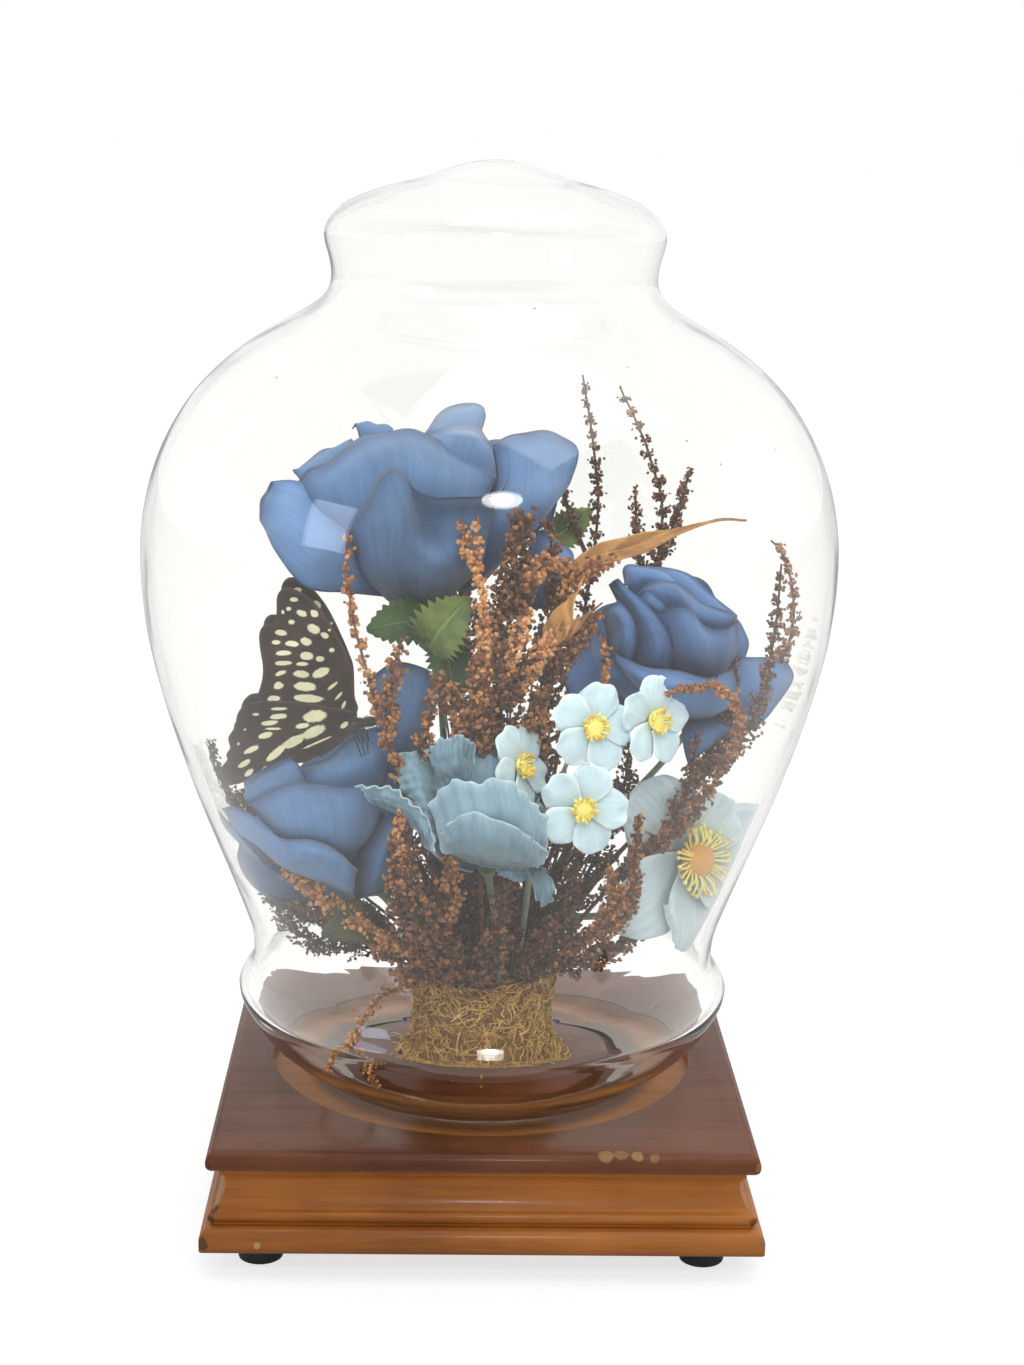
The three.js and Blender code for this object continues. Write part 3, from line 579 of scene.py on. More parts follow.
def rubber():
    made, tree, surface = material("Foot rubber", Specular_IOR_Level=0.35)
    place = object_place(tree)
    dust = noise(tree, place, 120.0, 6.0, 0.6)
    tree.links.new(ramp(tree, dust, [(0.35, (0.012, 0.012, 0.014)), (0.75, (0.05, 0.048, 0.05))]),
                   surface.inputs["Base Color"])
    tree.links.new(ramp(tree, dust, [(0.3, grey(0.45)), (0.8, grey(0.75))]), surface.inputs["Roughness"])
    bump(tree, surface, noise(tree, place, 900.0, 3.0), 0.2, 0.0003)
    return made


def blown_glass():
    """Clear blown glass with specks of dirt; shadow rays pass straight through, so lamps light the inside."""
    made, tree, surface = material("Blown glass", Roughness=0.0, IOR=1.45, Metallic=0.0)
    surface.inputs["Transmission Weight"].default_value = 1.0
    place = object_place(tree)
    cells = add(tree, "ShaderNodeTexVoronoi", Vector=place, Scale=210.0, Randomness=1.0)
    sizes = add(tree, "ShaderNodeSeparateXYZ", Vector=cells.outputs["Color"])
    reach = times(tree, step_up(tree, sizes.outputs["X"], 0.94, 1.0), 0.075)
    speck = reckon(tree, "LESS_THAN", cells.outputs["Distance"], reach)
    colour = mix(tree, speck, (0.982, 0.985, 0.966), (0.12, 0.09, 0.06))
    tree.links.new(colour, surface.inputs["Base Color"])
    bump(tree, surface, noise(tree, place, 22.0, 2.0), 0.12, 0.002)
    clear = add(tree, "ShaderNodeBsdfTransparent", Color=(0.97, 0.985, 0.97, 1))
    rays = add(tree, "ShaderNodeLightPath")
    mixed = add(tree, "ShaderNodeMixShader", n_0=rays.outputs["Is Shadow Ray"])
    tree.links.new(surface.outputs["BSDF"], mixed.inputs[1])
    tree.links.new(clear.outputs["BSDF"], mixed.inputs[2])
    tree.links.new(mixed.outputs["Shader"], tree.nodes["Material Output"].inputs["Surface"])
    return made


def tinted(name, stops, roughness, scale=300.0, share=0.35, lumps=900.0, **constants):
    """A dry, matte material that takes its colour from each grain's tint and a fine mottle."""
    made, tree, surface = material(name, Roughness=roughness, **constants)
    place = object_place(tree)
    mottle = times(tree, minus(tree, noise(tree, place, scale, 4.0), 0.5), share)
    tone = plus(tree, field(tree, "tint"), mottle)
    tree.links.new(ramp(tree, tone, stops), surface.inputs["Base Color"])
    bump(tree, surface, noise(tree, place, lumps, 3.0), 0.4, 0.0004)
    return made


def leaf_cloth(name, body, dark, vein):
    """A printed leaf with a pale midrib and side veins."""
    made, tree, surface = material(name, Roughness=0.55, Specular_IOR_Level=0.35)
    coordinates = add(tree, "ShaderNodeTexCoord")
    uv = add(tree, "ShaderNodeSeparateXYZ", Vector=coordinates.outputs["UV"])
    side = reckon(tree, "ABSOLUTE", minus(tree, uv.outputs["X"], 0.5))
    midrib = step_down(tree, side, 0.01, 0.045)
    slant = minus(tree, times(tree, uv.outputs["Y"], 7.0), times(tree, side, 5.0))
    ribs = step_down(tree, reckon(tree, "PINGPONG", slant, 0.5), 0.0, 0.07)
    veins = reckon(tree, "MAXIMUM", midrib, times(tree, ribs, 0.6))
    dye = noise(tree, coordinates.outputs["Object"], 110.0, 5.0, 0.6)
    colour = mix(tree, step_up(tree, dye, 0.35, 0.68), dark, body)
    colour = mix(tree, times(tree, veins, 0.6), colour, vein)
    tree.links.new(colour, surface.inputs["Base Color"])
    bump(tree, surface, plus(tree, veins, times(tree, dye, 0.5)), 0.5, 0.0006)
    return made


def wing_scales():
    """Brown wing scales with pale spots, from the wing's own spot and vein fields."""
    made, tree, surface = material("Wing scales", Roughness=0.6, Specular_IOR_Level=0.3, Sheen_Weight=0.15)
    place = object_place(tree)
    ragged = times(tree, minus(tree, noise(tree, place, 900.0, 3.0), 0.5), 0.3)
    spot = step_up(tree, plus(tree, field(tree, "spot"), ragged), 0.42, 0.58)
    dusting = noise(tree, place, 140.0, 5.0, 0.65)
    brown = ramp(tree, dusting, [(0.3, (0.012, 0.006, 0.004)), (0.7, (0.055, 0.026, 0.014))])
    brown = mix(tree, field(tree, "margin"), brown, (0.13, 0.085, 0.055))
    brown = mix(tree, field(tree, "vein"), brown, (0.012, 0.007, 0.006))
    pale = ramp(tree, field(tree, "tint"), [(0.0, (0.62, 0.62, 0.4)), (0.5, (0.82, 0.78, 0.52)),
                                            (1.0, (0.98, 0.86, 0.6))])
    pale = blend(tree, "MULTIPLY", 0.5, pale, ramp(tree, dusting, [(0.3, grey(0.65)), (0.65, grey(1.1))]))
    tree.links.new(mix(tree, spot, brown, pale), surface.inputs["Base Color"])
    bump(tree, surface, noise(tree, place, 1500.0, 2.0), 0.3, 0.0003)
    return made


def body_fur():
    return tinted("Insect body", [(0.2, (0.02, 0.014, 0.01)), (0.55, (0.09, 0.065, 0.04)),
                                  (0.9, (0.5, 0.42, 0.24))],
                  0.8, 500.0, 0.5, Sheen_Weight=0.3)


HUSK_STOPS = [(0.0, (0.03, 0.014, 0.008)), (0.35, (0.14, 0.058, 0.026)), (0.65, (0.42, 0.175, 0.06)),
              (1.0, (0.78, 0.42, 0.17))]
MOSS_STOPS = [(0.0, (0.13, 0.055, 0.014)), (0.4, (0.5, 0.26, 0.05)), (0.7, (0.76, 0.47, 0.12)),
              (1.0, (0.9, 0.68, 0.27))]
STAMEN_STOPS = [(0.0, (0.62, 0.25, 0.03)), (0.4, (0.85, 0.45, 0.05)), (0.62, (0.95, 0.78, 0.12)),
                (1.0, (0.97, 0.93, 0.3))]
STEM_STOPS = [(0.0, (0.07, 0.1, 0.04)), (0.5, (0.24, 0.3, 0.17)), (1.0, (0.5, 0.55, 0.42))]


# Plinth

GROOVE_OUTER = 61.8
GROOVE_INNER = 38.5
GROOVE_DEPTH = 4.0

MOULDING_PROFILE = [
    (73.6, 0.0), (73.6, 1.0), (74.1, 1.3), (74.5, 2.0), (74.6, 2.8), (74.4, 3.4), (73.9, 3.9), (73.0, 4.2),
    (72.6, 4.6), (71.7, 5.7), (70.9, 7.2), (70.3, 9.0), (70.1, 10.6), (70.3, 12.0), (70.8, 13.2),
    (71.2, 13.5),
    (71.6, 13.9), (71.6, 15.48),
]


def stacked_square(profile, base):
    """A square block extruded up a profile of (half width, height), by scaling each new top."""
    deselect()
    first = profile[0][0]
    bpy.ops.mesh.primitive_plane_add(size=2 * first * MM, location=(0, 0, base * MM))
    obj = bpy.context.object
    open_mesh()
    for (half, height), (wider, higher) in zip(profile, profile[1:]):
        bpy.ops.mesh.extrude_region_move(TRANSFORM_OT_translate={"value": (0, 0, (higher - height) * MM)})
        bpy.ops.transform.resize(value=(wider / half, wider / half, 1),
                                 center_override=(0, 0, (base + higher) * MM))
    close_mesh()
    settle(obj)
    return obj


def rounded_square(half, bottom, top, radius, bottom_radius):
    """A board whose long edges are rounded."""
    profile = []
    for k in range(7):
        angle = math.radians(90 * k / 6)
        profile.append((half - bottom_radius * (1 - math.sin(angle)), bottom_radius * (1 - math.cos(angle))))
    for k in range(9):
        angle = math.radians(90 * k / 8)
        profile.append((half - radius * (1 - math.cos(angle)), top - bottom - radius * (1 - math.sin(angle))))
    cleaned = [profile[0]]
    for point in profile[1:]:
        if abs(point[1] - cleaned[-1][1]) + abs(point[0] - cleaned[-1][0]) > 0.01:
            cleaned.append(point)
    return stacked_square(cleaned, bottom)


def groove_cutter():
    """A ring as deep as the groove that the glass stands in."""
    deselect()
    floor = (PLINTH_TOP - GROOVE_DEPTH) * MM
    bpy.ops.mesh.primitive_circle_add(vertices=128, radius=GROOVE_OUTER * MM, location=(0, 0, floor))
    ring = bpy.context.object
    open_mesh()
    bpy.ops.mesh.extrude_region_move()
    share = GROOVE_INNER / GROOVE_OUTER
    bpy.ops.transform.resize(value=(share, share, 1), center_override=(0, 0, floor))
    bpy.ops.mesh.select_all(action="SELECT")
    bpy.ops.mesh.extrude_region_move(TRANSFORM_OT_translate={"value": (0, 0, 0.008)})
    close_mesh()
    settle(ring)
    return ring


def cut_with(obj, cutter):
    apply_modifier(obj, "BOOLEAN", object=cutter, operation="DIFFERENCE", solver="EXACT")
    bpy.data.objects.remove(cutter)


def make_plinth():
    dark, brown = top_wood(), frame_wood()
    board = rounded_square(TOP_HIGH.x, TOP_LOW.z, PLINTH_TOP, 2.9, 2.4)
    cut_with(board, groove_cutter())
    apply_modifier(board, "BEVEL", width=0.35 * MM, segments=2, limit_method="ANGLE",
                   angle_limit=math.radians(50))
    smooth(board, 35)
    finish(board, "top_board", dark, "wood_dark", "plinth_top")
    moulding = stacked_square(MOULDING_PROFILE, MOULDING_FOOT)
    apply_modifier(moulding, "BEVEL", width=0.3 * MM, segments=2, limit_method="ANGLE",
                   angle_limit=math.radians(50))
    smooth(moulding, 35)
    finish(moulding, "cove_moulding", brown, "wood_brown", "plinth_moulding")
    base = rounded_square(BASE_HIGH.x, BASE_LOW.z, BASE_HIGH.z - 0.02, 3.4, 0.8)
    apply_modifier(base, "BEVEL", width=0.5 * MM, segments=3, limit_method="ANGLE",
                   angle_limit=math.radians(50))
    smooth(base, 35)
    finish(base, "base_board", brown, "wood_brown", "plinth_base")


def make_feet():
    skin = rubber()
    for side in ("front_left", "front_right", "back_left", "back_right"):
        low, high = node_box("foot_" + side)
        centre = (low + high) / 2
        deselect()
        bpy.ops.mesh.primitive_cylinder_add(vertices=48, radius=(high.x - low.x) / 2 * MM,
                                            depth=(high.z - low.z) * MM, location=centre * MM)
        foot = bpy.context.object
        bpy.ops.object.mode_set(mode="EDIT")
        bpy.ops.mesh.select_mode(type="FACE")
        bpy.ops.mesh.select_all(action="DESELECT")
        bpy.ops.object.mode_set(mode="OBJECT")
        for face in foot.data.polygons:
            face.select = face.normal.z < -0.9
        bpy.ops.object.mode_set(mode="EDIT")
        bpy.ops.transform.resize(value=(0.9, 0.9, 1), center_override=(centre.x * MM, centre.y * MM,
                                                                       low.z * MM))
        bpy.ops.mesh.inset(thickness=2.2 * MM)
        bpy.ops.transform.translate(value=(0, 0, 0.9 * MM))
        bpy.ops.object.mode_set(mode="OBJECT")
        apply_modifier(foot, "BEVEL", width=0.5 * MM, segments=3, limit_method="ANGLE",
                       angle_limit=math.radians(40))
        settle(foot)
        smooth(foot, 40)
        finish(foot, "rubber_foot_" + side, skin, "rubber", "foot_" + side)


# Glass dome, as (radius, height above the plinth's top)

DOME_PROFILE = [
    (43.5, -3.9), (46.5, -2.9), (50, -1), (53, 1), (56, 3.2), (59.4, 5.7), (62.5, 8.3), (65.3, 11.2),
    (67.7, 14.4),
    (69.6, 17.4), (71.2, 20.6), (72, 23), (71.4, 25), (70.2, 27), (68.95, 29), (67.9, 31), (67.5, 33.5),
    (67.6, 37.5), (68.4, 42.5),
    (70.2, 48),
    (74.6, 59.6), (78.7, 70), (82.6, 80), (86.2, 90), (89.5, 100), (92.5, 110), (95.1, 120), (97.1, 130),
    (98.3, 140),
    (98.8, 149), (98.6, 157), (97.4, 166), (95.1, 175), (91.7, 183.5), (87.8, 190.5), (83.2, 197),
    (77.2, 203.3),
    (71.6, 208), (65.4, 212.4), (59.6, 215.8), (54.2, 218.8), (50.4, 221.2), (47.7, 223.3), (46.1, 225.6),
    (45.5, 228.2), (45.5, 231), (46.2, 234.6), (47.2, 238), (47.5, 240.6), (46.8, 243.4), (45, 246.2),
    (42.2, 248.6),
    (38.6, 250.6), (34, 252.4), (28, 254.3), (20.8, 256.2), (15, 258), (10, 259.6), (5, 260.8), (0, 261.2),
]
GLASS_RADII = np.array([r for r, _ in DOME_PROFILE])
GLASS_HEIGHTS = np.array([z for _, z in DOME_PROFILE])
GLASS_CLEARANCE = 3.4


def make_glass(wall):
    profile = spline([(r, 0, z + PLINTH_TOP) for r, z in DOME_PROFILE], 150)
    profile[:, 0] = np.clip(profile[:, 0], 0, GLASS_HIGH.x - 0.02)
    profile[-1, 0] = 0
    profile[:, 2] = np.minimum(profile[:, 2], GLASS_HIGH.z - 0.02)
    edges = [(i, i + 1) for i in range(len(profile) - 1)]
    mesh = bpy.data.meshes.new("profile")
    mesh.from_pydata((profile * MM).tolist(), edges, [])
    dome = placed("profile", mesh)
    activate(dome)
    open_mesh()
    bpy.ops.mesh.spin(steps=160, angle=2 * math.pi, center=(0, 0, 0), axis=(0, 0, 1), use_auto_merge=True)
    bpy.ops.mesh.select_all(action="SELECT")
    bpy.ops.mesh.remove_doubles(threshold=1e-6)
    bpy.ops.mesh.normals_make_consistent(inside=False)
    bpy.ops.object.mode_set(mode="OBJECT")
    apply_modifier(dome, "SOLIDIFY", thickness=wall, offset=-1, use_rim=True)
    smooth(dome, 60)
    finish(dome, "glass_shell", blown_glass(), "glass", "glass_dome")


def inside_glass(points):
    """Draws points that would touch the glass in towards the axis."""
    limit = np.interp(points[:, 2] - PLINTH_TOP, GLASS_HEIGHTS, GLASS_RADII) - GLASS_CLEARANCE
    radius = np.hypot(points[:, 0], points[:, 1])
    share = np.where(radius > limit, limit / np.maximum(radius, 1e-6), 1.0)
    return points * np.stack([share, share, np.ones_like(share)], axis=1)


# Petals. Turn, length and half width, then the slope above the level at foot, middle and tip.

def slope_at(slopes, t):
    foot, middle, tip = slopes
    return np.radians(foot * (1 - t) * (1 - 2 * t) + 4 * middle * t * (1 - t) + tip * t * (2 * t - 1))


def centre_line(foot, lift, length, slopes):
    steps = np.linspace(0, 1, 81)
    middle = slope_at(slopes, (steps[1:] + steps[:-1]) / 2)
    out = foot + np.concatenate([[0], np.cumsum(np.cos(middle))]) * length / 80
    up = lift + np.concatenate([[0], np.cumsum(np.sin(middle))]) * length / 80
    return steps, out, up


def petal(turn, length, half, slopes, foot=3.0, lift=0.0, cup=1.0, drop=0.55, waist=0.3, tilt=2.5, wave=1.2,
          ripples=2.0, crinkle=0.0, curl=0.0, notch=0.0, tone=0.5, thickness=0.35, columns=26, rows=26,
          seed=0):
    """One cloth petal in its flower's own axes."""
    rng = random.Random(seed)
    phases = [rng.uniform(0, 6.28) for _ in range(6)]
    deselect()
    bpy.ops.mesh.primitive_grid_add(x_subdivisions=columns, y_subdivisions=rows, size=2)
    sheet = bpy.context.object
    points = mesh_points(sheet)
    u, v = points[:, 0], (points[:, 1] + 1) / 2
    reach = v * (1 - drop * v**2 * (0.4 * u**2 + 0.6 * u**4) - notch * v**6 * np.exp(-(u / 0.22)**2))
    steps, line_out, line_up = centre_line(foot, lift, length, slopes)
    out, up = np.interp(reach, steps, line_out), np.interp(reach, steps, line_up)
    slope = slope_at(slopes, reach)
    span = half * (waist + (1 - waist) * np.sin(np.pi / 2 * np.minimum(v / 0.62, 1)))
    side = u * span
    bend = cup * np.maximum(np.sin(slope), 0.25) / np.maximum(out, 5)
    lateral = np.sin(bend * side) / bend
    inward = (1 - np.cos(bend * side)) / bend
    inward += wave * v**2 * np.sin(ripples * np.pi * u + phases[0]) * (0.35 + 0.65 * np.abs(u))
    inward += 0.45 * wave * np.sin(2.6 * np.pi * v + phases[1]) * np.sin(1.7 * np.pi * u + phases[2]) * v
    if crinkle:
        edge = np.maximum(np.abs(u) ** 3 * v, v**4)
        inward += crinkle * edge * np.sin(7.5 * np.pi * u + phases[3] + 5 * v)
        inward += 0.6 * crinkle * v * np.sin(5 * np.pi * v + phases[4] + 3 * u) * np.sin(9 * u + phases[5])
    inward -= tilt * u
    inward -= curl * np.maximum(v - 0.78, 0)**2 * 20
    inward -= 0.5 * curl * np.maximum(np.abs(u) - 0.75, 0)**2 * 16 * v
    radial = out - inward * np.sin(slope)
    height = up + inward * np.cos(slope)
    angle = math.radians(turn)
    x = radial * math.cos(angle) - lateral * math.sin(angle)
    y = radial * math.sin(angle) + lateral * math.cos(angle)
    move_points(sheet, np.stack([x, y, height], axis=1) * MM)
    apply_modifier(sheet, "SOLIDIFY", thickness=thickness * MM, offset=0)
    set_field(sheet, "tint", np.full(len(sheet.data.vertices), tone + rng.uniform(-0.12, 0.12)))
    return sheet


def plant(obj, foot, aim, spin=0.0):
    """Turns a flower's part from its own axes to where it grows."""
    turn = Vector((0, 0, 1)).rotation_difference(Vector(aim).normalized()).to_matrix().to_4x4()
    roll = Matrix.Rotation(math.radians(spin), 4, "Z")
    obj.data.transform(Matrix.Translation(Vector(foot) * MM) @ turn @ roll)
    points = inside_glass(mesh_points(obj) / MM)
    move_points(obj, points * MM)
    return obj


# The tones are painted light and shade: a named petal is made lighter or darker for the light, shade and
# glass reflections that fall on it; above 0.5 is lighter, below is darker.
ROSES = {
    "top": {
        "foot": (-16, -12, 176), "aim": (-0.12, -0.04, 1), "spin": 0,
        "tones": {("outer", 0): 0.8, ("inner", 0): 0.36, ("inner", 2): 0.1, ("outer", 4): 0.55},
        "outer": [(40, 50, 26, (20, 68, 50)), (95, 52, 28, (18, 72, 44)), (150, 50, 26, (16, 64, 40))],
        "inner": (4, -50, 40, 18, (40, 86, 76)), "heart": 32,
    },
    "right": {
        "foot": (55, 4, 143), "aim": (-0.38, -0.42, 0.82), "spin": 10,
        "tones": {**{("outer", i): 0.95 for i in range(7)}, ("outer", 3): 1.15, ("outer", 4): 1.1},
        "outer": [(60, 36, 21, (10, 50, 24)), (120, 34, 21, (12, 56, 34)), (170, 32, 18, (14, 56, 36))],
        "inner": (3, 60, 28, 15, (40, 84, 84)), "heart": 22,
    },
    "left": {
        "foot": (-30, -22, 97), "aim": (-0.42, -0.34, 0.84), "spin": -15,
        "tones": {("outer", 0): 0.8, ("outer", 2): 0.4, ("outer", 5): 0.4},
        "outer": [(45, 40, 22, (14, 66, 46)), (100, 42, 24, (14, 60, 36)), (160, 40, 24, (4, 46, 20))],
        "inner": (3, 90, 30, 14, (36, 80, 74)), "heart": 22,
    },
}

# Petals that show: rows from rim to foot, as (right, down) in a crop of the photograph, and depth in mm
CROPS = {
    "top": (255, 395, 4.68),
    "right": (540, 540, 5.807),
    "left": (200, 700, 4.356),
}

TOP_PETALS = {
    "outer": [
        [[(50, 610, -36), (32, 525, -36), (78, 412, -32)], [(100, 730, -42), (150, 590, -44),
                                                            (210, 410, -30)],
         [(240, 898, -40), (290, 690, -44), (330, 480, -26)],
         [(430, 925, -32), (470, 760, -34), (520, 560, -20)],
         [(620, 945, -16), (650, 930, -14), (660, 880, -12)]],
        [[(192, 372, -14), (215, 350, -12), (300, 275, -8), (380, 252, -6), (440, 232, -4)],
         [(215, 400, -20), (300, 380, -20), (380, 340, -16), (430, 300, -14), (480, 260, -10)],
         [(600, 900, -14), (620, 905, -14), (640, 910, -14), (660, 905, -14), (680, 900, -14)]],
        [[(463, 155, 4), (482, 130, 6), (545, 132, 8), (595, 148, 8), (640, 178, 6)],
         [(490, 190, 0), (525, 195, -2), (565, 195, -2), (605, 196, -2), (650, 200, 0)],
         [(640, 880, -10), (650, 885, -10), (660, 890, -10), (670, 885, -10), (680, 880, -10)]],
        [[(800, 175, 8), (858, 92, 13), (955, 40, 15), (1040, 42, 13), (1082, 78, 7)],
         [(815, 250, 2), (880, 190, 4), (965, 160, 3), (1030, 150, 4), (1062, 160, 6)],
         [(740, 880, -8), (770, 885, -8), (800, 890, -8), (830, 885, -8), (860, 880, -8)]],
        [[(1112, 238, -8), (1215, 178, -7), (1365, 168, -6), (1478, 215, -6), (1512, 275, -8)],
         [(1130, 400, -14), (1230, 350, -16), (1340, 330, -17), (1430, 345, -15), (1492, 350, -11)],
         [(1080, 560, -18), (1180, 540, -26), (1290, 540, -27), (1360, 550, -22), (1410, 500, -12)],
         [(860, 900, -12), (900, 910, -14), (950, 920, -14), (1000, 920, -12), (1050, 900, -8)]],
        [[(1490, 335, 2), (1484, 385, -1), (1424, 445, -4), (1415, 515, -6), (1390, 605, -9)],
         [(1400, 400, 8), (1390, 450, 4), (1350, 500, 0), (1335, 560, -4), (1310, 640, -8)],
         [(1000, 860, -6), (1010, 870, -6), (1020, 880, -6), (1030, 890, -6), (1040, 900, -6)]],
        [[(1290, 655, 4), (1340, 635, 3), (1412, 680, 2), (1475, 735, 2), (1495, 800, 2)],
         [(1270, 780, 2), (1320, 770, -2), (1380, 790, -4), (1440, 820, -4), (1478, 880, 0)],
         [(1200, 980, 4), (1240, 990, 4), (1290, 1000, 4), (1340, 1000, 4), (1390, 990, 4)]],
    ],
    "inner": [
        [[(222, 500, -30), (236, 372, -28), (345, 322, -26), (435, 245, -23), (510, 196, -21),
          (620, 182, -20),
          (720, 163, -18), (810, 190, -18), (990, 280, -17), (1122, 382, -15)],
         [(236, 540, -32), (300, 470, -33), (400, 420, -35), (480, 350, -36), (560, 310, -37),
          (640, 290, -38),
          (740, 290, -37), (840, 320, -34), (970, 380, -28), (1095, 450, -20)],
         [(300, 640, -30), (370, 600, -33), (450, 560, -36), (520, 520, -38), (590, 490, -40),
          (650, 480, -41),
          (740, 480, -40), (830, 500, -37), (930, 540, -32), (1040, 590, -24)],
         [(430, 800, -22), (480, 780, -25), (530, 765, -28), (580, 750, -30), (620, 740, -32),
          (660, 735, -32),
          (720, 735, -31), (780, 740, -29), (850, 760, -26), (920, 800, -20)],
         [(610, 950, -13), (620, 953, -13), (630, 955, -13), (640, 955, -13), (650, 955, -13),
          (660, 955, -13),
          (675, 955, -13), (690, 955, -13), (705, 952, -13), (720, 950, -13)]],
        [[(800, 190, -8), (890, 150, -7), (965, 136, -5), (1040, 148, -5), (1078, 205, -6), (1112, 262, -8),
          (1128, 390, -11)],
         [(770, 300, -16), (860, 290, -20), (930, 285, -22), (1000, 290, -21), (1050, 320, -18),
          (1085, 370, -15),
          (1105, 450, -14)],
         [(700, 900, -12), (740, 905, -13), (780, 910, -14), (820, 910, -14), (860, 910, -13),
          (900, 905, -11),
          (940, 900, -9)]],
        [[(450, 628, -37), (520, 520, -39), (585, 396, -40), (648, 350, -40), (712, 396, -41),
          (762, 450, -44),
          (840, 478, -46), (960, 470, -46), (1130, 470, -38)],
         [(462, 660, -39), (540, 560, -42), (600, 450, -44), (660, 410, -45), (722, 450, -43),
          (780, 505, -40),
          (850, 530, -38), (960, 528, -38), (1120, 530, -32)],
         [(482, 730, -39), (550, 660, -44), (620, 600, -47), (690, 575, -47), (745, 590, -43),
          (800, 620, -37),
          (870, 640, -38), (970, 640, -39), (1090, 640, -30)],
         [(510, 840, -33), (570, 815, -38), (640, 790, -42), (705, 775, -43), (760, 780, -43),
          (820, 790, -44),
          (890, 795, -43), (970, 800, -38), (1050, 800, -30)],
         [(620, 960, -18), (650, 975, -19), (680, 985, -20), (720, 990, -21), (760, 992, -21),
          (800, 990, -20),
          (830, 985, -20), (865, 975, -19), (900, 960, -17)]],
    ],
    "heart": [],
}

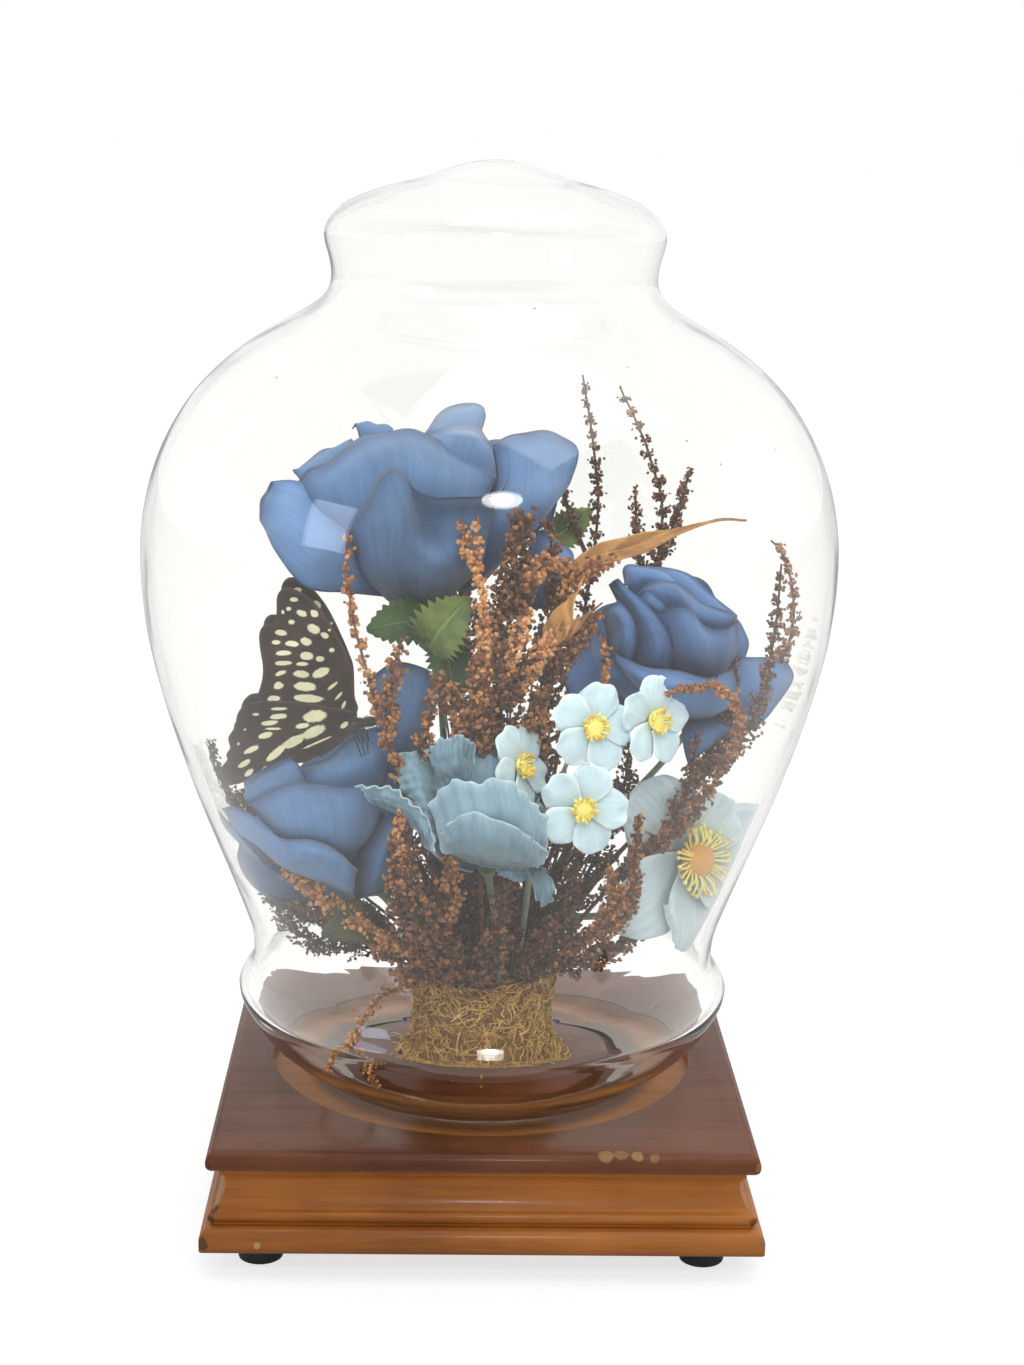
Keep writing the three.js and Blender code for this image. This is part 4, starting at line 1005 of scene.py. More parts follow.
RIGHT_PETALS = {
    "outer": [
        [[(1130, 692, 6), (1198, 692, 3), (1218, 622, 1), (1197, 520, -1), (1132, 442, -3)],
         [(1060, 720, 2), (1090, 700, -2), (1110, 650, -4), (1110, 600, -5), (1080, 520, -6)],
         [(900, 760, 2), (910, 750, 0), (920, 740, 0), (930, 730, 0), (940, 720, 0)]],
        [[(640, 166, 6), (780, 177, 8), (872, 212, 7), (972, 300, 5), (1142, 448, 0)],
         [(660, 230, 2), (780, 240, 1), (870, 290, 1), (955, 370, 0), (1120, 480, -3)],
         [(760, 500, 2), (790, 500, 2), (820, 500, 2), (860, 520, 2), (900, 540, 2)]],
        [[(492, 262, -3), (500, 166, 1), (600, 156, 1), (722, 190, 1), (795, 255, -1)],
         [(520, 290, -6), (560, 240, -8), (620, 222, -9), (720, 242, -9), (825, 305, -6)],
         [(620, 500, -4), (650, 500, -5), (680, 500, -6), (720, 510, -6), (770, 520, -5)]],
        [[(1412, 694, 8), (1468, 750, 4), (1492, 812, 0), (1425, 900, -5), (1285, 1065, -10)],
         [(1280, 686, 4), (1315, 790, -6), (1320, 890, -11), (1290, 980, -12), (1225, 1065, -10)],
         [(1130, 692, 0), (1150, 800, -13), (1150, 900, -18), (1140, 1000, -15), (1105, 1075, -10)],
         [(960, 800, -4), (970, 850, -6), (975, 900, -6), (970, 950, -6), (950, 1000, -4)]],
        [[(425, 652, -28), (520, 705, -33), (610, 740, -36), (760, 755, -38), (950, 802, -36),
          (1100, 748, -26)],
         [(450, 720, -30), (545, 790, -37), (640, 830, -41), (800, 862, -43), (980, 890, -38),
          (1135, 840, -24)],
         [(520, 830, -22), (610, 890, -28), (700, 940, -32), (830, 985, -33), (990, 990, -28),
          (1130, 950, -18)],
         [(700, 1000, -8), (750, 1015, -8), (800, 1030, -8), (860, 1045, -8), (930, 1050, -8),
          (1000, 1040, -6)]],
        [[(335, 500, -16), (365, 600, -22), (430, 690, -27), (560, 780, -30), (690, 890, -28),
          (825, 1015, -24)],
         [(300, 620, -14), (330, 720, -22), (400, 800, -25), (530, 880, -26), (650, 960, -24),
          (780, 1050, -20)],
         [(420, 900, -4), (450, 920, -6), (500, 950, -7), (560, 980, -7), (620, 1010, -6), (680, 1040, -4)]],
        [[(870, 1335, -18), (940, 1240, -20), (1060, 1160, -18), (1150, 1080, -14)],
         [(830, 1180, -20), (900, 1130, -24), (1000, 1090, -20), (1120, 1040, -14)],
         [(820, 1020, -8), (860, 1010, -8), (900, 1000, -8), (950, 990, -8)]],
    ],
    "inner": [
        [[(655, 432, -23), (755, 398, -26), (850, 402, -28), (915, 465, -28), (985, 515, -28),
          (1070, 512, -25),
          (1142, 468, -19)],
         [(735, 540, -25), (800, 520, -31), (870, 530, -34), (930, 570, -34), (1000, 600, -31),
          (1080, 600, -27),
          (1152, 560, -18)],
         [(758, 650, -24), (820, 660, -30), (880, 680, -32), (940, 690, -31), (1010, 690, -27),
          (1080, 680, -24),
          (1138, 650, -16)],
         [(750, 780, -14), (810, 800, -16), (870, 820, -18), (930, 830, -18), (990, 820, -16),
          (1050, 800, -13),
          (1100, 770, -9)]],
        [[(560, 322, -13), (640, 256, -13), (770, 248, -12), (860, 305, -11), (940, 370, -10),
          (1110, 432, -9)],
         [(590, 370, -16), (680, 330, -19), (790, 330, -20), (870, 390, -19), (940, 450, -17),
          (1125, 480, -13)],
         [(700, 560, -12), (750, 560, -13), (800, 560, -14), (860, 580, -14), (920, 600, -13),
          (1000, 620, -11)]],
    ],
    "heart": [
        [[(452, 225, -17), (600, 368, -22), (690, 455, -25), (745, 560, -27), (764, 660, -27),
          (750, 752, -25)],
         [(430, 235, -17), (545, 380, -23), (620, 470, -27), (655, 570, -29), (665, 660, -29),
          (650, 748, -26)],
         [(400, 260, -14), (470, 400, -17), (510, 480, -19), (530, 570, -20), (530, 650, -20),
          (520, 720, -18)]],
        [[(455, 355, -22), (515, 425, -26), (545, 500, -28), (553, 580, -28), (528, 700, -27)],
         [(410, 380, -22), (450, 440, -28), (475, 520, -30), (480, 600, -30), (465, 680, -27)],
         [(350, 420, -16), (370, 480, -18), (385, 540, -19), (390, 600, -19), (395, 650, -18)]],
        [[(562, 322, -17), (622, 298, -18), (692, 332, -18), (752, 388, -17)],
         [(590, 380, -19), (640, 385, -21), (690, 400, -21), (745, 412, -18)],
         [(640, 470, -16), (670, 470, -17), (700, 470, -17), (730, 470, -16)]],
    ],
}

LEFT_PETALS = {
    "outer": [
        [[(55, 468, -40), (165, 462, -47), (290, 530, -54), (370, 596, -58), (500, 610, -60),
          (610, 660, -57), (688, 735, -50)],
         [(88, 505, -42), (185, 525, -52), (295, 600, -59), (375, 648, -62), (500, 660, -64),
          (605, 700, -60), (682, 760, -52)],
         [(230, 600, -38), (280, 640, -44), (340, 690, -49), (410, 720, -52), (500, 745, -54),
          (600, 780, -52), (680, 820, -47)],
         [(420, 770, -30), (450, 785, -31), (480, 800, -32), (520, 815, -33), (570, 835, -34),
          (620, 850, -34), (680, 870, -33)]],
        [[(32, 478, -34), (90, 520, -40), (150, 575, -45), (230, 650, -48), (345, 728, -47)],
         [(160, 560, -30), (190, 600, -34), (240, 650, -37), (300, 700, -38), (400, 760, -38)],
         [(420, 740, -26), (430, 755, -27), (440, 770, -28), (450, 785, -28), (460, 800, -28)]],
        [[(905, 545, -35), (905, 620, -39), (880, 700, -41), (845, 775, -39), (770, 835, -35)],
         [(850, 505, -42), (835, 590, -48), (795, 680, -50), (770, 760, -48), (740, 845, -39)],
         [(790, 485, -38), (740, 570, -41), (692, 650, -43), (684, 745, -43), (700, 855, -37)]],
        [[(208, 400, -33), (212, 335, -31), (300, 285, -32), (405, 226, -33)],
         [(222, 440, -40), (290, 390, -43), (360, 350, -42), (445, 300, -38)],
         [(420, 560, -36), (450, 540, -38), (490, 520, -38), (540, 500, -36)]],
        [[(405, 300, -28), (540, 262, -29), (645, 180, -27), (760, 115, -25), (838, 135, -23)],
         [(430, 350, -34), (570, 320, -38), (680, 280, -38), (780, 240, -34), (845, 240, -28)],
         [(560, 520, -34), (610, 520, -36), (660, 510, -36), (710, 500, -34), (760, 480, -30)]],
        [[(730, -90, -20), (850, -160, -20), (990, -130, -18), (1045, -30, -16)],
         [(760, 30, -25), (860, 20, -28), (950, 20, -27), (1020, 50, -21)],
         [(780, 300, -28), (820, 310, -30), (860, 310, -30), (900, 300, -26)]],
    ],
    "inner": [
        [[(222, 448, -44), (320, 395, -46), (430, 360, -47), (540, 366, -47), (640, 380, -46),
          (725, 372, -43), (788, 470, -38)],
         [(290, 520, -50), (370, 490, -55), (450, 470, -57), (540, 470, -57), (630, 480, -55),
          (710, 490, -50), (780, 520, -41)],
         [(345, 590, -50), (400, 590, -55), (470, 595, -57), (550, 610, -57), (625, 620, -54),
          (690, 610, -49), (750, 580, -41)],
         [(430, 720, -36), (460, 725, -38), (500, 730, -39), (550, 735, -39), (600, 735, -38),
          (640, 725, -36), (680, 700, -33)]],
    ],
    "heart": [],
}

PALE_FITTED = [
    [[(1041, 597, -60), (1110, 520, -67), (1194, 475, -73), (1262, 505, -75), (1333, 527, -74),
      (1420, 580, -70), (1507, 649, -60)],
     [(1055, 640, -59), (1120, 610, -67), (1190, 600, -73), (1262, 615, -75), (1330, 630, -74),
      (1420, 660, -68), (1495, 700, -58)],
     [(1115, 672, -50), (1160, 692, -53), (1205, 706, -54), (1262, 716, -54), (1320, 724, -53),
      (1385, 734, -51), (1440, 728, -49)]],
    [[(1015, 480, -57), (1050, 400, -60), (1115, 340, -63), (1210, 372, -66), (1300, 345, -66),
      (1390, 385, -64), (1505, 530, -57)],
     [(1028, 560, -60), (1080, 510, -66), (1160, 480, -70), (1240, 490, -73), (1330, 480, -73),
      (1420, 520, -69), (1515, 600, -58)],
     [(1050, 620, -57), (1110, 620, -63), (1190, 640, -67), (1270, 655, -68), (1350, 670, -67),
      (1430, 680, -62), (1505, 660, -55)],
     [(1110, 668, -48), (1150, 690, -50), (1200, 705, -51), (1260, 715, -51), (1320, 722, -50),
      (1390, 735, -49), (1450, 725, -47)]],
    [[(960, 235, -42), (1010, 190, -41), (1080, 160, -40), (1150, 190, -39), (1230, 205, -38),
      (1310, 200, -39), (1440, 335, -44)],
     [(1000, 340, -47), (1060, 300, -48), (1120, 290, -48), (1180, 295, -48), (1240, 290, -48),
      (1310, 290, -48), (1450, 420, -49)],
     [(1090, 600, -50), (1120, 610, -51), (1160, 620, -52), (1200, 625, -52), (1250, 630, -52),
      (1300, 630, -52), (1380, 640, -50)]],
    [[(690, 352, -50), (770, 366, -53), (860, 384, -56), (945, 440, -59), (1000, 530, -60), (1018, 640, -58)],
     [(712, 392, -49), (790, 415, -52), (870, 440, -55), (940, 490, -58), (985, 560, -60), (1012, 640, -58)],
     [(738, 432, -48), (815, 468, -52), (885, 500, -55), (940, 540, -58), (975, 590, -59), (1008, 650, -57)]],
    [[(862, 225, -40), (868, 330, -45), (900, 420, -50), (955, 470, -55), (1010, 580, -56)],
     [(930, 222, -43), (945, 330, -51), (965, 420, -55), (990, 490, -57), (1018, 590, -56)],
     [(1000, 220, -43), (1022, 330, -49), (1032, 430, -52), (1034, 510, -54), (1028, 600, -54)]],
    [[(1000, 215, -46), (1040, 178, -48), (1085, 172, -49), (1125, 145, -49), (1165, 175, -48),
      (1195, 190, -46)],
     [(1010, 262, -47), (1050, 240, -51), (1090, 250, -52), (1130, 285, -52), (1160, 260, -50),
      (1192, 235, -47)],
     [(1080, 400, -50), (1100, 405, -51), (1120, 410, -51), (1140, 410, -51), (1160, 405, -51),
      (1180, 400, -50)]],
    [[(1468, 868, -51), (1502, 888, -51), (1532, 850, -49)],
     [(1450, 795, -54), (1492, 790, -57), (1534, 800, -51)],
     [(1420, 725, -52), (1465, 715, -53), (1500, 725, -50)]],
    [[(1275, 715, -50), (1320, 760, -52), (1380, 782, -52), (1450, 770, -50)],
     [(1300, 690, -50), (1340, 700, -52), (1390, 710, -52), (1440, 715, -50)]],
]


def fitted_petal(rows, crop, thickness, tone, seed, columns=40, steps=32, wave=0.35, crinkle=0.0, curl=0.5):
    """A cloth petal through rows of places read off the photograph."""
    rng = random.Random(seed)
    left, top, zoom = CROPS[crop]
    lines = [spline([seen(left + u / zoom, top + v / zoom, y) for u, v, y in row],
                    columns) for row in reversed(rows)]
    grid = np.stack([spline([line[k] for line in lines], steps) for k in range(columns)], axis=1)
    across = np.gradient(grid, axis=1)
    along = np.gradient(grid, axis=0)
    normal = np.cross(across, along)
    normal /= np.linalg.norm(normal, axis=2)[:, :, None] + 1e-9
    u, v = np.meshgrid(np.linspace(-1, 1, columns), np.linspace(0, 1, steps))
    phases = [rng.uniform(0, 6.28) for _ in range(5)]
    relief = wave * v * np.sin(2.3 * np.pi * u + phases[0]) * np.sin(2.0 * np.pi * v + phases[1])
    relief += crinkle * (0.3 + v**3) * np.sin(9 * np.pi * u + phases[2] + 4 * v)
    relief += 0.6 * crinkle * np.sin(7 * np.pi * v + phases[3] + 4 * u) * np.sin(6 * u + phases[4])
    relief += curl * (np.maximum(v - 0.85, 0) / 0.15) ** 2 * 0.8
    grid = grid + normal * relief[:, :, None]
    deselect()
    bpy.ops.mesh.primitive_grid_add(x_subdivisions=columns - 1, y_subdivisions=steps - 1, size=2)
    sheet = bpy.context.object
    places = mesh_points(sheet)
    column = np.clip(np.round((places[:, 0] + 1) / 2 * (columns - 1)).astype(int), 0, columns - 1)
    step = np.clip(np.round((places[:, 1] + 1) / 2 * (steps - 1)).astype(int), 0, steps - 1)
    move_points(sheet, inside_glass(grid[step, column]) * MM)
    apply_modifier(sheet, "SOLIDIFY", thickness=thickness * MM, offset=0)
    set_field(sheet, "tint", np.full(len(sheet.data.vertices), tone + rng.uniform(-0.1, 0.1)))
    return sheet


FITTED = {"top": TOP_PETALS, "right": RIGHT_PETALS, "left": LEFT_PETALS}


def make_rose(name, thickness, cloth, seed):
    rose = ROSES[name]
    place = (rose["foot"], rose["aim"], rose["spin"])
    # Each fitted petal's tone from rose["tones"] is painted light and shade.
    fitted = {
        layer: [fitted_petal(rows, name, thickness, rose["tones"].get((layer, i), 0.5), seed + 60 + i)
                for i, rows in enumerate(petals)]
        for layer, petals in FITTED[name].items()
    }
    outer = [
        petal(turn, length, half, slopes, foot=4.5, curl=1.2, thickness=thickness, tone=0.5, seed=seed + i)
        for i, (turn, length, half, slopes) in enumerate(rose["outer"])
    ]
    outer = join([plant(join(outer), *place), *fitted["outer"]])
    smooth(outer)
    finish(outer, f"{name}_rose_outer", cloth, "silk_blue", f"rose_{name}_outer_petals")
    count, start, length, half, slopes = rose["inner"]
    # The inner petals (tone 0.42) and the heart (0.32) are darker than the outer petals (0.5): painted shade
    # deeper in the rose.
    inner = [
        petal(start + 360 / count * i, length, half, slopes, foot=3, lift=2.6, curl=0.8, wave=0.9, tilt=3.2,
              thickness=thickness, tone=0.42, seed=seed + 20 + i)
        for i in range(count)
    ]
    inner = join([plant(join(inner), *place), *fitted["inner"]])
    smooth(inner)
    finish(inner, f"{name}_rose_inner", cloth, "silk_blue", f"rose_{name}_inner_petals")
    tall = rose["heart"]
    heart = [
        petal(137.5 * i, tall * (0.78 + 0.05 * i), 6.5 + 0.9 * i, (70 - 3 * i, 92, 98), foot=0.6 + 0.45 * i,
              lift=3, cup=1.25, curl=0.5, wave=0.5, tilt=2.0, waist=0.5, thickness=thickness, tone=0.32,
              columns=18, rows=18, seed=seed + 40 + i)
        for i in range(6)
    ]
    heart = join([plant(join(heart), *place), *fitted["heart"]])
    smooth(heart)
    finish(heart, f"{name}_rose_heart", cloth, "silk_blue", f"rose_{name}_heart")


PALE_FLOWER = {"foot": (0, -40, 108), "aim": (-0.12, -0.45, 0.88)}
PALE_PETALS = [
    (35, 24, 12, (14, 62, 50)), (95, 25, 13, (16, 66, 56)), (150, 25, 11, (12, 58, 44)),
]
WINDFLOWER = {"foot": (57.5, -27, 106.5), "aim": (0.5, -0.8, 0.12)}
WINDFLOWER_PETALS = [
    (48, 26, 11, (34, 26, -4)), (100, 19, 10, (40, 30, 20)), (160, 26, 13, (16, 4, -10)),
    (-122, 31, 12, (20, 8, -22)), (-78, 25, 9, (34, 18, 0)), (-8, 16, 11, (40, 30, 14)),
]
FORGET_ME_NOTS = {
    "upper": ((27.5, -50, 149.5), (0.3, -0.93, 0.2), 20),
    "right": ((44, -45, 150.5), (0.62, -0.76, 0.15), 48),
    "lower": ((25, -55, 128.5), (0.12, -0.98, 0.15), 6),
    "left": ((7.8, -50, 138.5), (0.8, -0.55, 0.25), 30),
}


def make_pale_flower(thickness):
    # The third colour is the painted shade at the petal foot.
    cloth = silk("Pale silk", (0.2, 0.32, 0.4), (0.46, 0.62, 0.7), (0.07, 0.13, 0.17), 0.03, 0.25)
    petals = [
        petal(turn, length, half, slopes, foot=2.6, wave=1.6, ripples=3.0, crinkle=1.0, tilt=1.6, drop=0.4,
              curl=1.0,
              thickness=thickness, columns=40, rows=32, tone=0.5, seed=300 + i)
        for i, (turn, length, half, slopes) in enumerate(PALE_PETALS)
    ]
    flower = plant(join(petals), PALE_FLOWER["foot"], PALE_FLOWER["aim"])
    fitted = [
        fitted_petal(rows, "left", thickness, 0.5, 320 + i, wave=0.9, crinkle=0.55, curl=0.9)
        for i, rows in enumerate(PALE_FITTED)
    ]
    flower = join([flower, *fitted])
    smooth(flower)
    finish(flower, "pale_flower", cloth, "silk_pale", "pale_flower_petals")


def ball(radius, place, squash, cuts):
    deselect()
    bpy.ops.mesh.primitive_ico_sphere_add(subdivisions=cuts, radius=radius * MM)
    obj = bpy.context.object
    obj.data.transform(Matrix.Translation(Vector(place) * MM) @ Matrix.Diagonal((*squash, 1)))
    return obj


def stamens(count, start, middle, end, radius, knob, seed):
    """Thread rods in a ring, each with a knob, in the flower's own axes, as (out, up)."""
    rng = random.Random(seed)
    heap = Heap()
    points, faces = grain_shape()
    for i in range(count):
        angle = 2 * math.pi * (i + rng.uniform(-0.3, 0.3)) / count
        way = np.array([math.cos(angle), math.sin(angle), 0])
        grown = rng.uniform(0.82, 1.12)
        path = [way * out * grown + np.array([0, 0, up * (0.75 + 0.4 * rng.random())]) for out,
                up in (start, middle, end)]
        line = spline(path, 6)
        heap.add(*rod(line, radius, 5), tint=0.75 + rng.uniform(-0.1, 0.2))
        heap.add(points * knob + line[-1], faces, tint=0.6 + rng.uniform(-0.3, 0.3))
    return heap.build("stamens")


def make_windflower(thickness):
    # The third colour is the painted shade at the petal foot.
    cloth = silk("Windflower silk", (0.56, 0.68, 0.74), (0.7, 0.82, 0.86), (0.3, 0.42, 0.5), 0.03, 0.3)
    petals = [
        petal(turn, length, half, slopes, foot=2.6, lift=-1.2, wave=1.6, ripples=2.4, crinkle=0.45, tilt=1.2,
              drop=0.5, curl=1.2, thickness=thickness, columns=32, rows=30, tone=0.5, seed=400 + i)
        for i, (turn, length, half, slopes) in enumerate(WINDFLOWER_PETALS)
    ]
    flower = plant(join(petals), WINDFLOWER["foot"], WINDFLOWER["aim"])
    smooth(flower)
    finish(flower, "windflower", cloth, "silk_pale", "windflower_petals")
    eye = ball(1, (0, 0, 3.4), (5.2, 5.2, 3.4), 3)
    set_field(eye, "tint", np.full(len(eye.data.vertices), 0.15))
    ring = stamens(34, (3.0, 3.4), (6.4, 6.2), (9.8, 6.6), 0.32, 0.7, 9)
    eye = plant(join([eye, ring]), WINDFLOWER["foot"], WINDFLOWER["aim"])
    smooth(eye)
    finish(eye, "windflower_heart", tinted("Stamen plastic", STAMEN_STOPS, 0.5), "silk_orange",
           "windflower_eye")


def make_forget_me_nots(thickness):
    # The third colour is the painted shade at the petal foot.
    cloth = silk("Forget-me-not silk", (0.55, 0.71, 0.8), (0.84, 0.93, 0.97), (0.48, 0.62, 0.69), 0.05, 0.3)
    plastic = tinted("Flower eye plastic", STAMEN_STOPS, 0.45)
    for k, (name, (centre, aim, spin)) in enumerate(FORGET_ME_NOTS.items()):
        lobes = [
            petal(72 * i, 11.0, 5.5, (24, 4, -14 + 8 * (i % 3)), foot=1.7, wave=0.7, tilt=0.7, drop=0.42,
                  waist=0.26,
                  cup=-1.2, curl=0.35, notch=0.05, thickness=thickness, columns=16, rows=16, tone=0.55,
                  seed=500 + 10 * k + i)
            for i in range(5)
        ]
        flower = join(lobes)
        eye = stamens(18, (1.1, 1.0), (2.5, 2.1), (3.2, 3.2), 0.32, 0.62, 70 + k)
        button = ball(1, (0, 0, 1.2), (2.7, 2.7, 1.1), 2)
        set_field(button, "tint", np.full(len(button.data.vertices), 0.88))
        eye = join([button, eye])
        for part in (flower, eye):
            plant(part, centre, aim, spin)
            smooth(part)
        finish(flower, f"forget_me_not_{name}_cloth", cloth, "silk_pale", f"forget_me_not_{name}")
        finish(eye, f"forget_me_not_{name}_eye", plastic, "silk_orange")


# Grains, sprays and moss

GRAIN = {}


def grain_shape():
    """The points and faces of one small seed husk, of radius 1."""
    if not GRAIN:
        deselect()
        bpy.ops.mesh.primitive_ico_sphere_add(subdivisions=1, radius=1)
        obj = bpy.context.object
        points = mesh_points(obj)
        GRAIN["points"] = points
        GRAIN["faces"] = [tuple(face.vertices) for face in obj.data.polygons]
        bpy.data.objects.remove(obj)
    return GRAIN["points"], GRAIN["faces"]


FLAKE = (
    np.array([(1, 0, 0), (-1, 0, 0), (0, 1, 0), (0, -1, 0), (0, 0, 1), (0, 0, -1)], float),
    [(0, 2, 4), (2, 1, 4), (1, 3, 4), (3, 0, 4), (2, 0, 5), (1, 2, 5), (3, 1, 5), (0, 3, 5)],
)


def add_grains(heap, places, size, tone, spread, rng, flakes=False):
    """A husk at each place, turned and stretched its own way; flakes are plainer, for thick parts."""
    points, faces = FLAKE if flakes else grain_shape()
    places = np.asarray(places, float)
    count = len(places)
    stretch = np.stack([np.ones(count), rng.uniform(0.6, 0.85, count), rng.uniform(0.5, 0.8, count)], axis=1)
    shapes = points[None] * (stretch * size * rng.uniform(0.65, 1.15, (count, 1)))[:, None, :]
    turns = rng.normal(size=(count, 4))
    w, x, y, z = (turns / np.linalg.norm(turns, axis=1)[:, None]).T
    spins = np.array([
        [1 - 2 * (y * y + z * z), 2 * (x * y - z * w), 2 * (x * z + y * w)],
        [2 * (x * y + z * w), 1 - 2 * (x * x + z * z), 2 * (y * z - x * w)],
        [2 * (x * z - y * w), 2 * (y * z + x * w), 1 - 2 * (x * x + y * y)],
    ])
    shapes = np.einsum("ijn,nkj->nki", spins, shapes) + places[:, None, :]
    tints = np.clip(tone + rng.normal(size=count) * spread, 0, 1)
    every = [tuple(k * len(points) + i for i in face) for k in range(count) for face in faces]
    heap.add(shapes.reshape(-1, 3), every, np.repeat(tints, len(points)))


def add_plume(heap, path, plume, husks, bare, size, tone, rng, samples, flakes):
    """A stalk with side twigs that shorten towards its tip, all of it crowded with husks."""
    line = spline(path, samples)
    steps = np.linspace(0, 1, samples)
    heap.add(*rod(line, 0.75 - 0.45 * steps, 4), tint=tone * 0.6)
    tangents = np.gradient(line, axis=0)
    tangents /= np.linalg.norm(tangents, axis=1)[:, None]
    twigs = max(4, husks // 9)
    places, tones = [], []
    for k in range(twigs):
        grown = (k + rng.uniform(0, 0.9)) / twigs
        index = min(int((bare + (1 - bare) * grown) * (samples - 1)), samples - 2)
        full = plume * (0.28 + 0.72 * math.sin(math.pi * min(0.97, grown**0.75))) * rng.uniform(0.7, 1.1)
        way = np.cross(tangents[index], rng.normal(size=3))
        way /= np.linalg.norm(way)
        base = line[index]
        middle = base + way * full * 0.6 + tangents[index] * full * 0.25
        end = base + way * full * 0.85 + tangents[index] * full * rng.uniform(0.7, 1.1)
        twig = spline([base, middle, end], 5)
        if full > 1.6:
            heap.add(*rod(twig, 0.2, 3), tint=tone)
        number = max(4, int(husks / twigs * full / plume * 1.3))
        for t in np.linspace(0.12, 1, number):
            at = min(int(t * 4), 3)
            place = twig[at] + (twig[at + 1] - twig[at]) * (t * 4 - at)
            places.append(place + rng.normal(size=3) * (0.3 + 0.35 * size))
            tones.append(tone + 0.22 * (t - 0.6))
    add_grains(heap, places, size, np.array(tones), 0.13, rng, flakes)


# Each spray's husk size, then its plumes as (half width, husks, bare share of the stalk, tone, path)

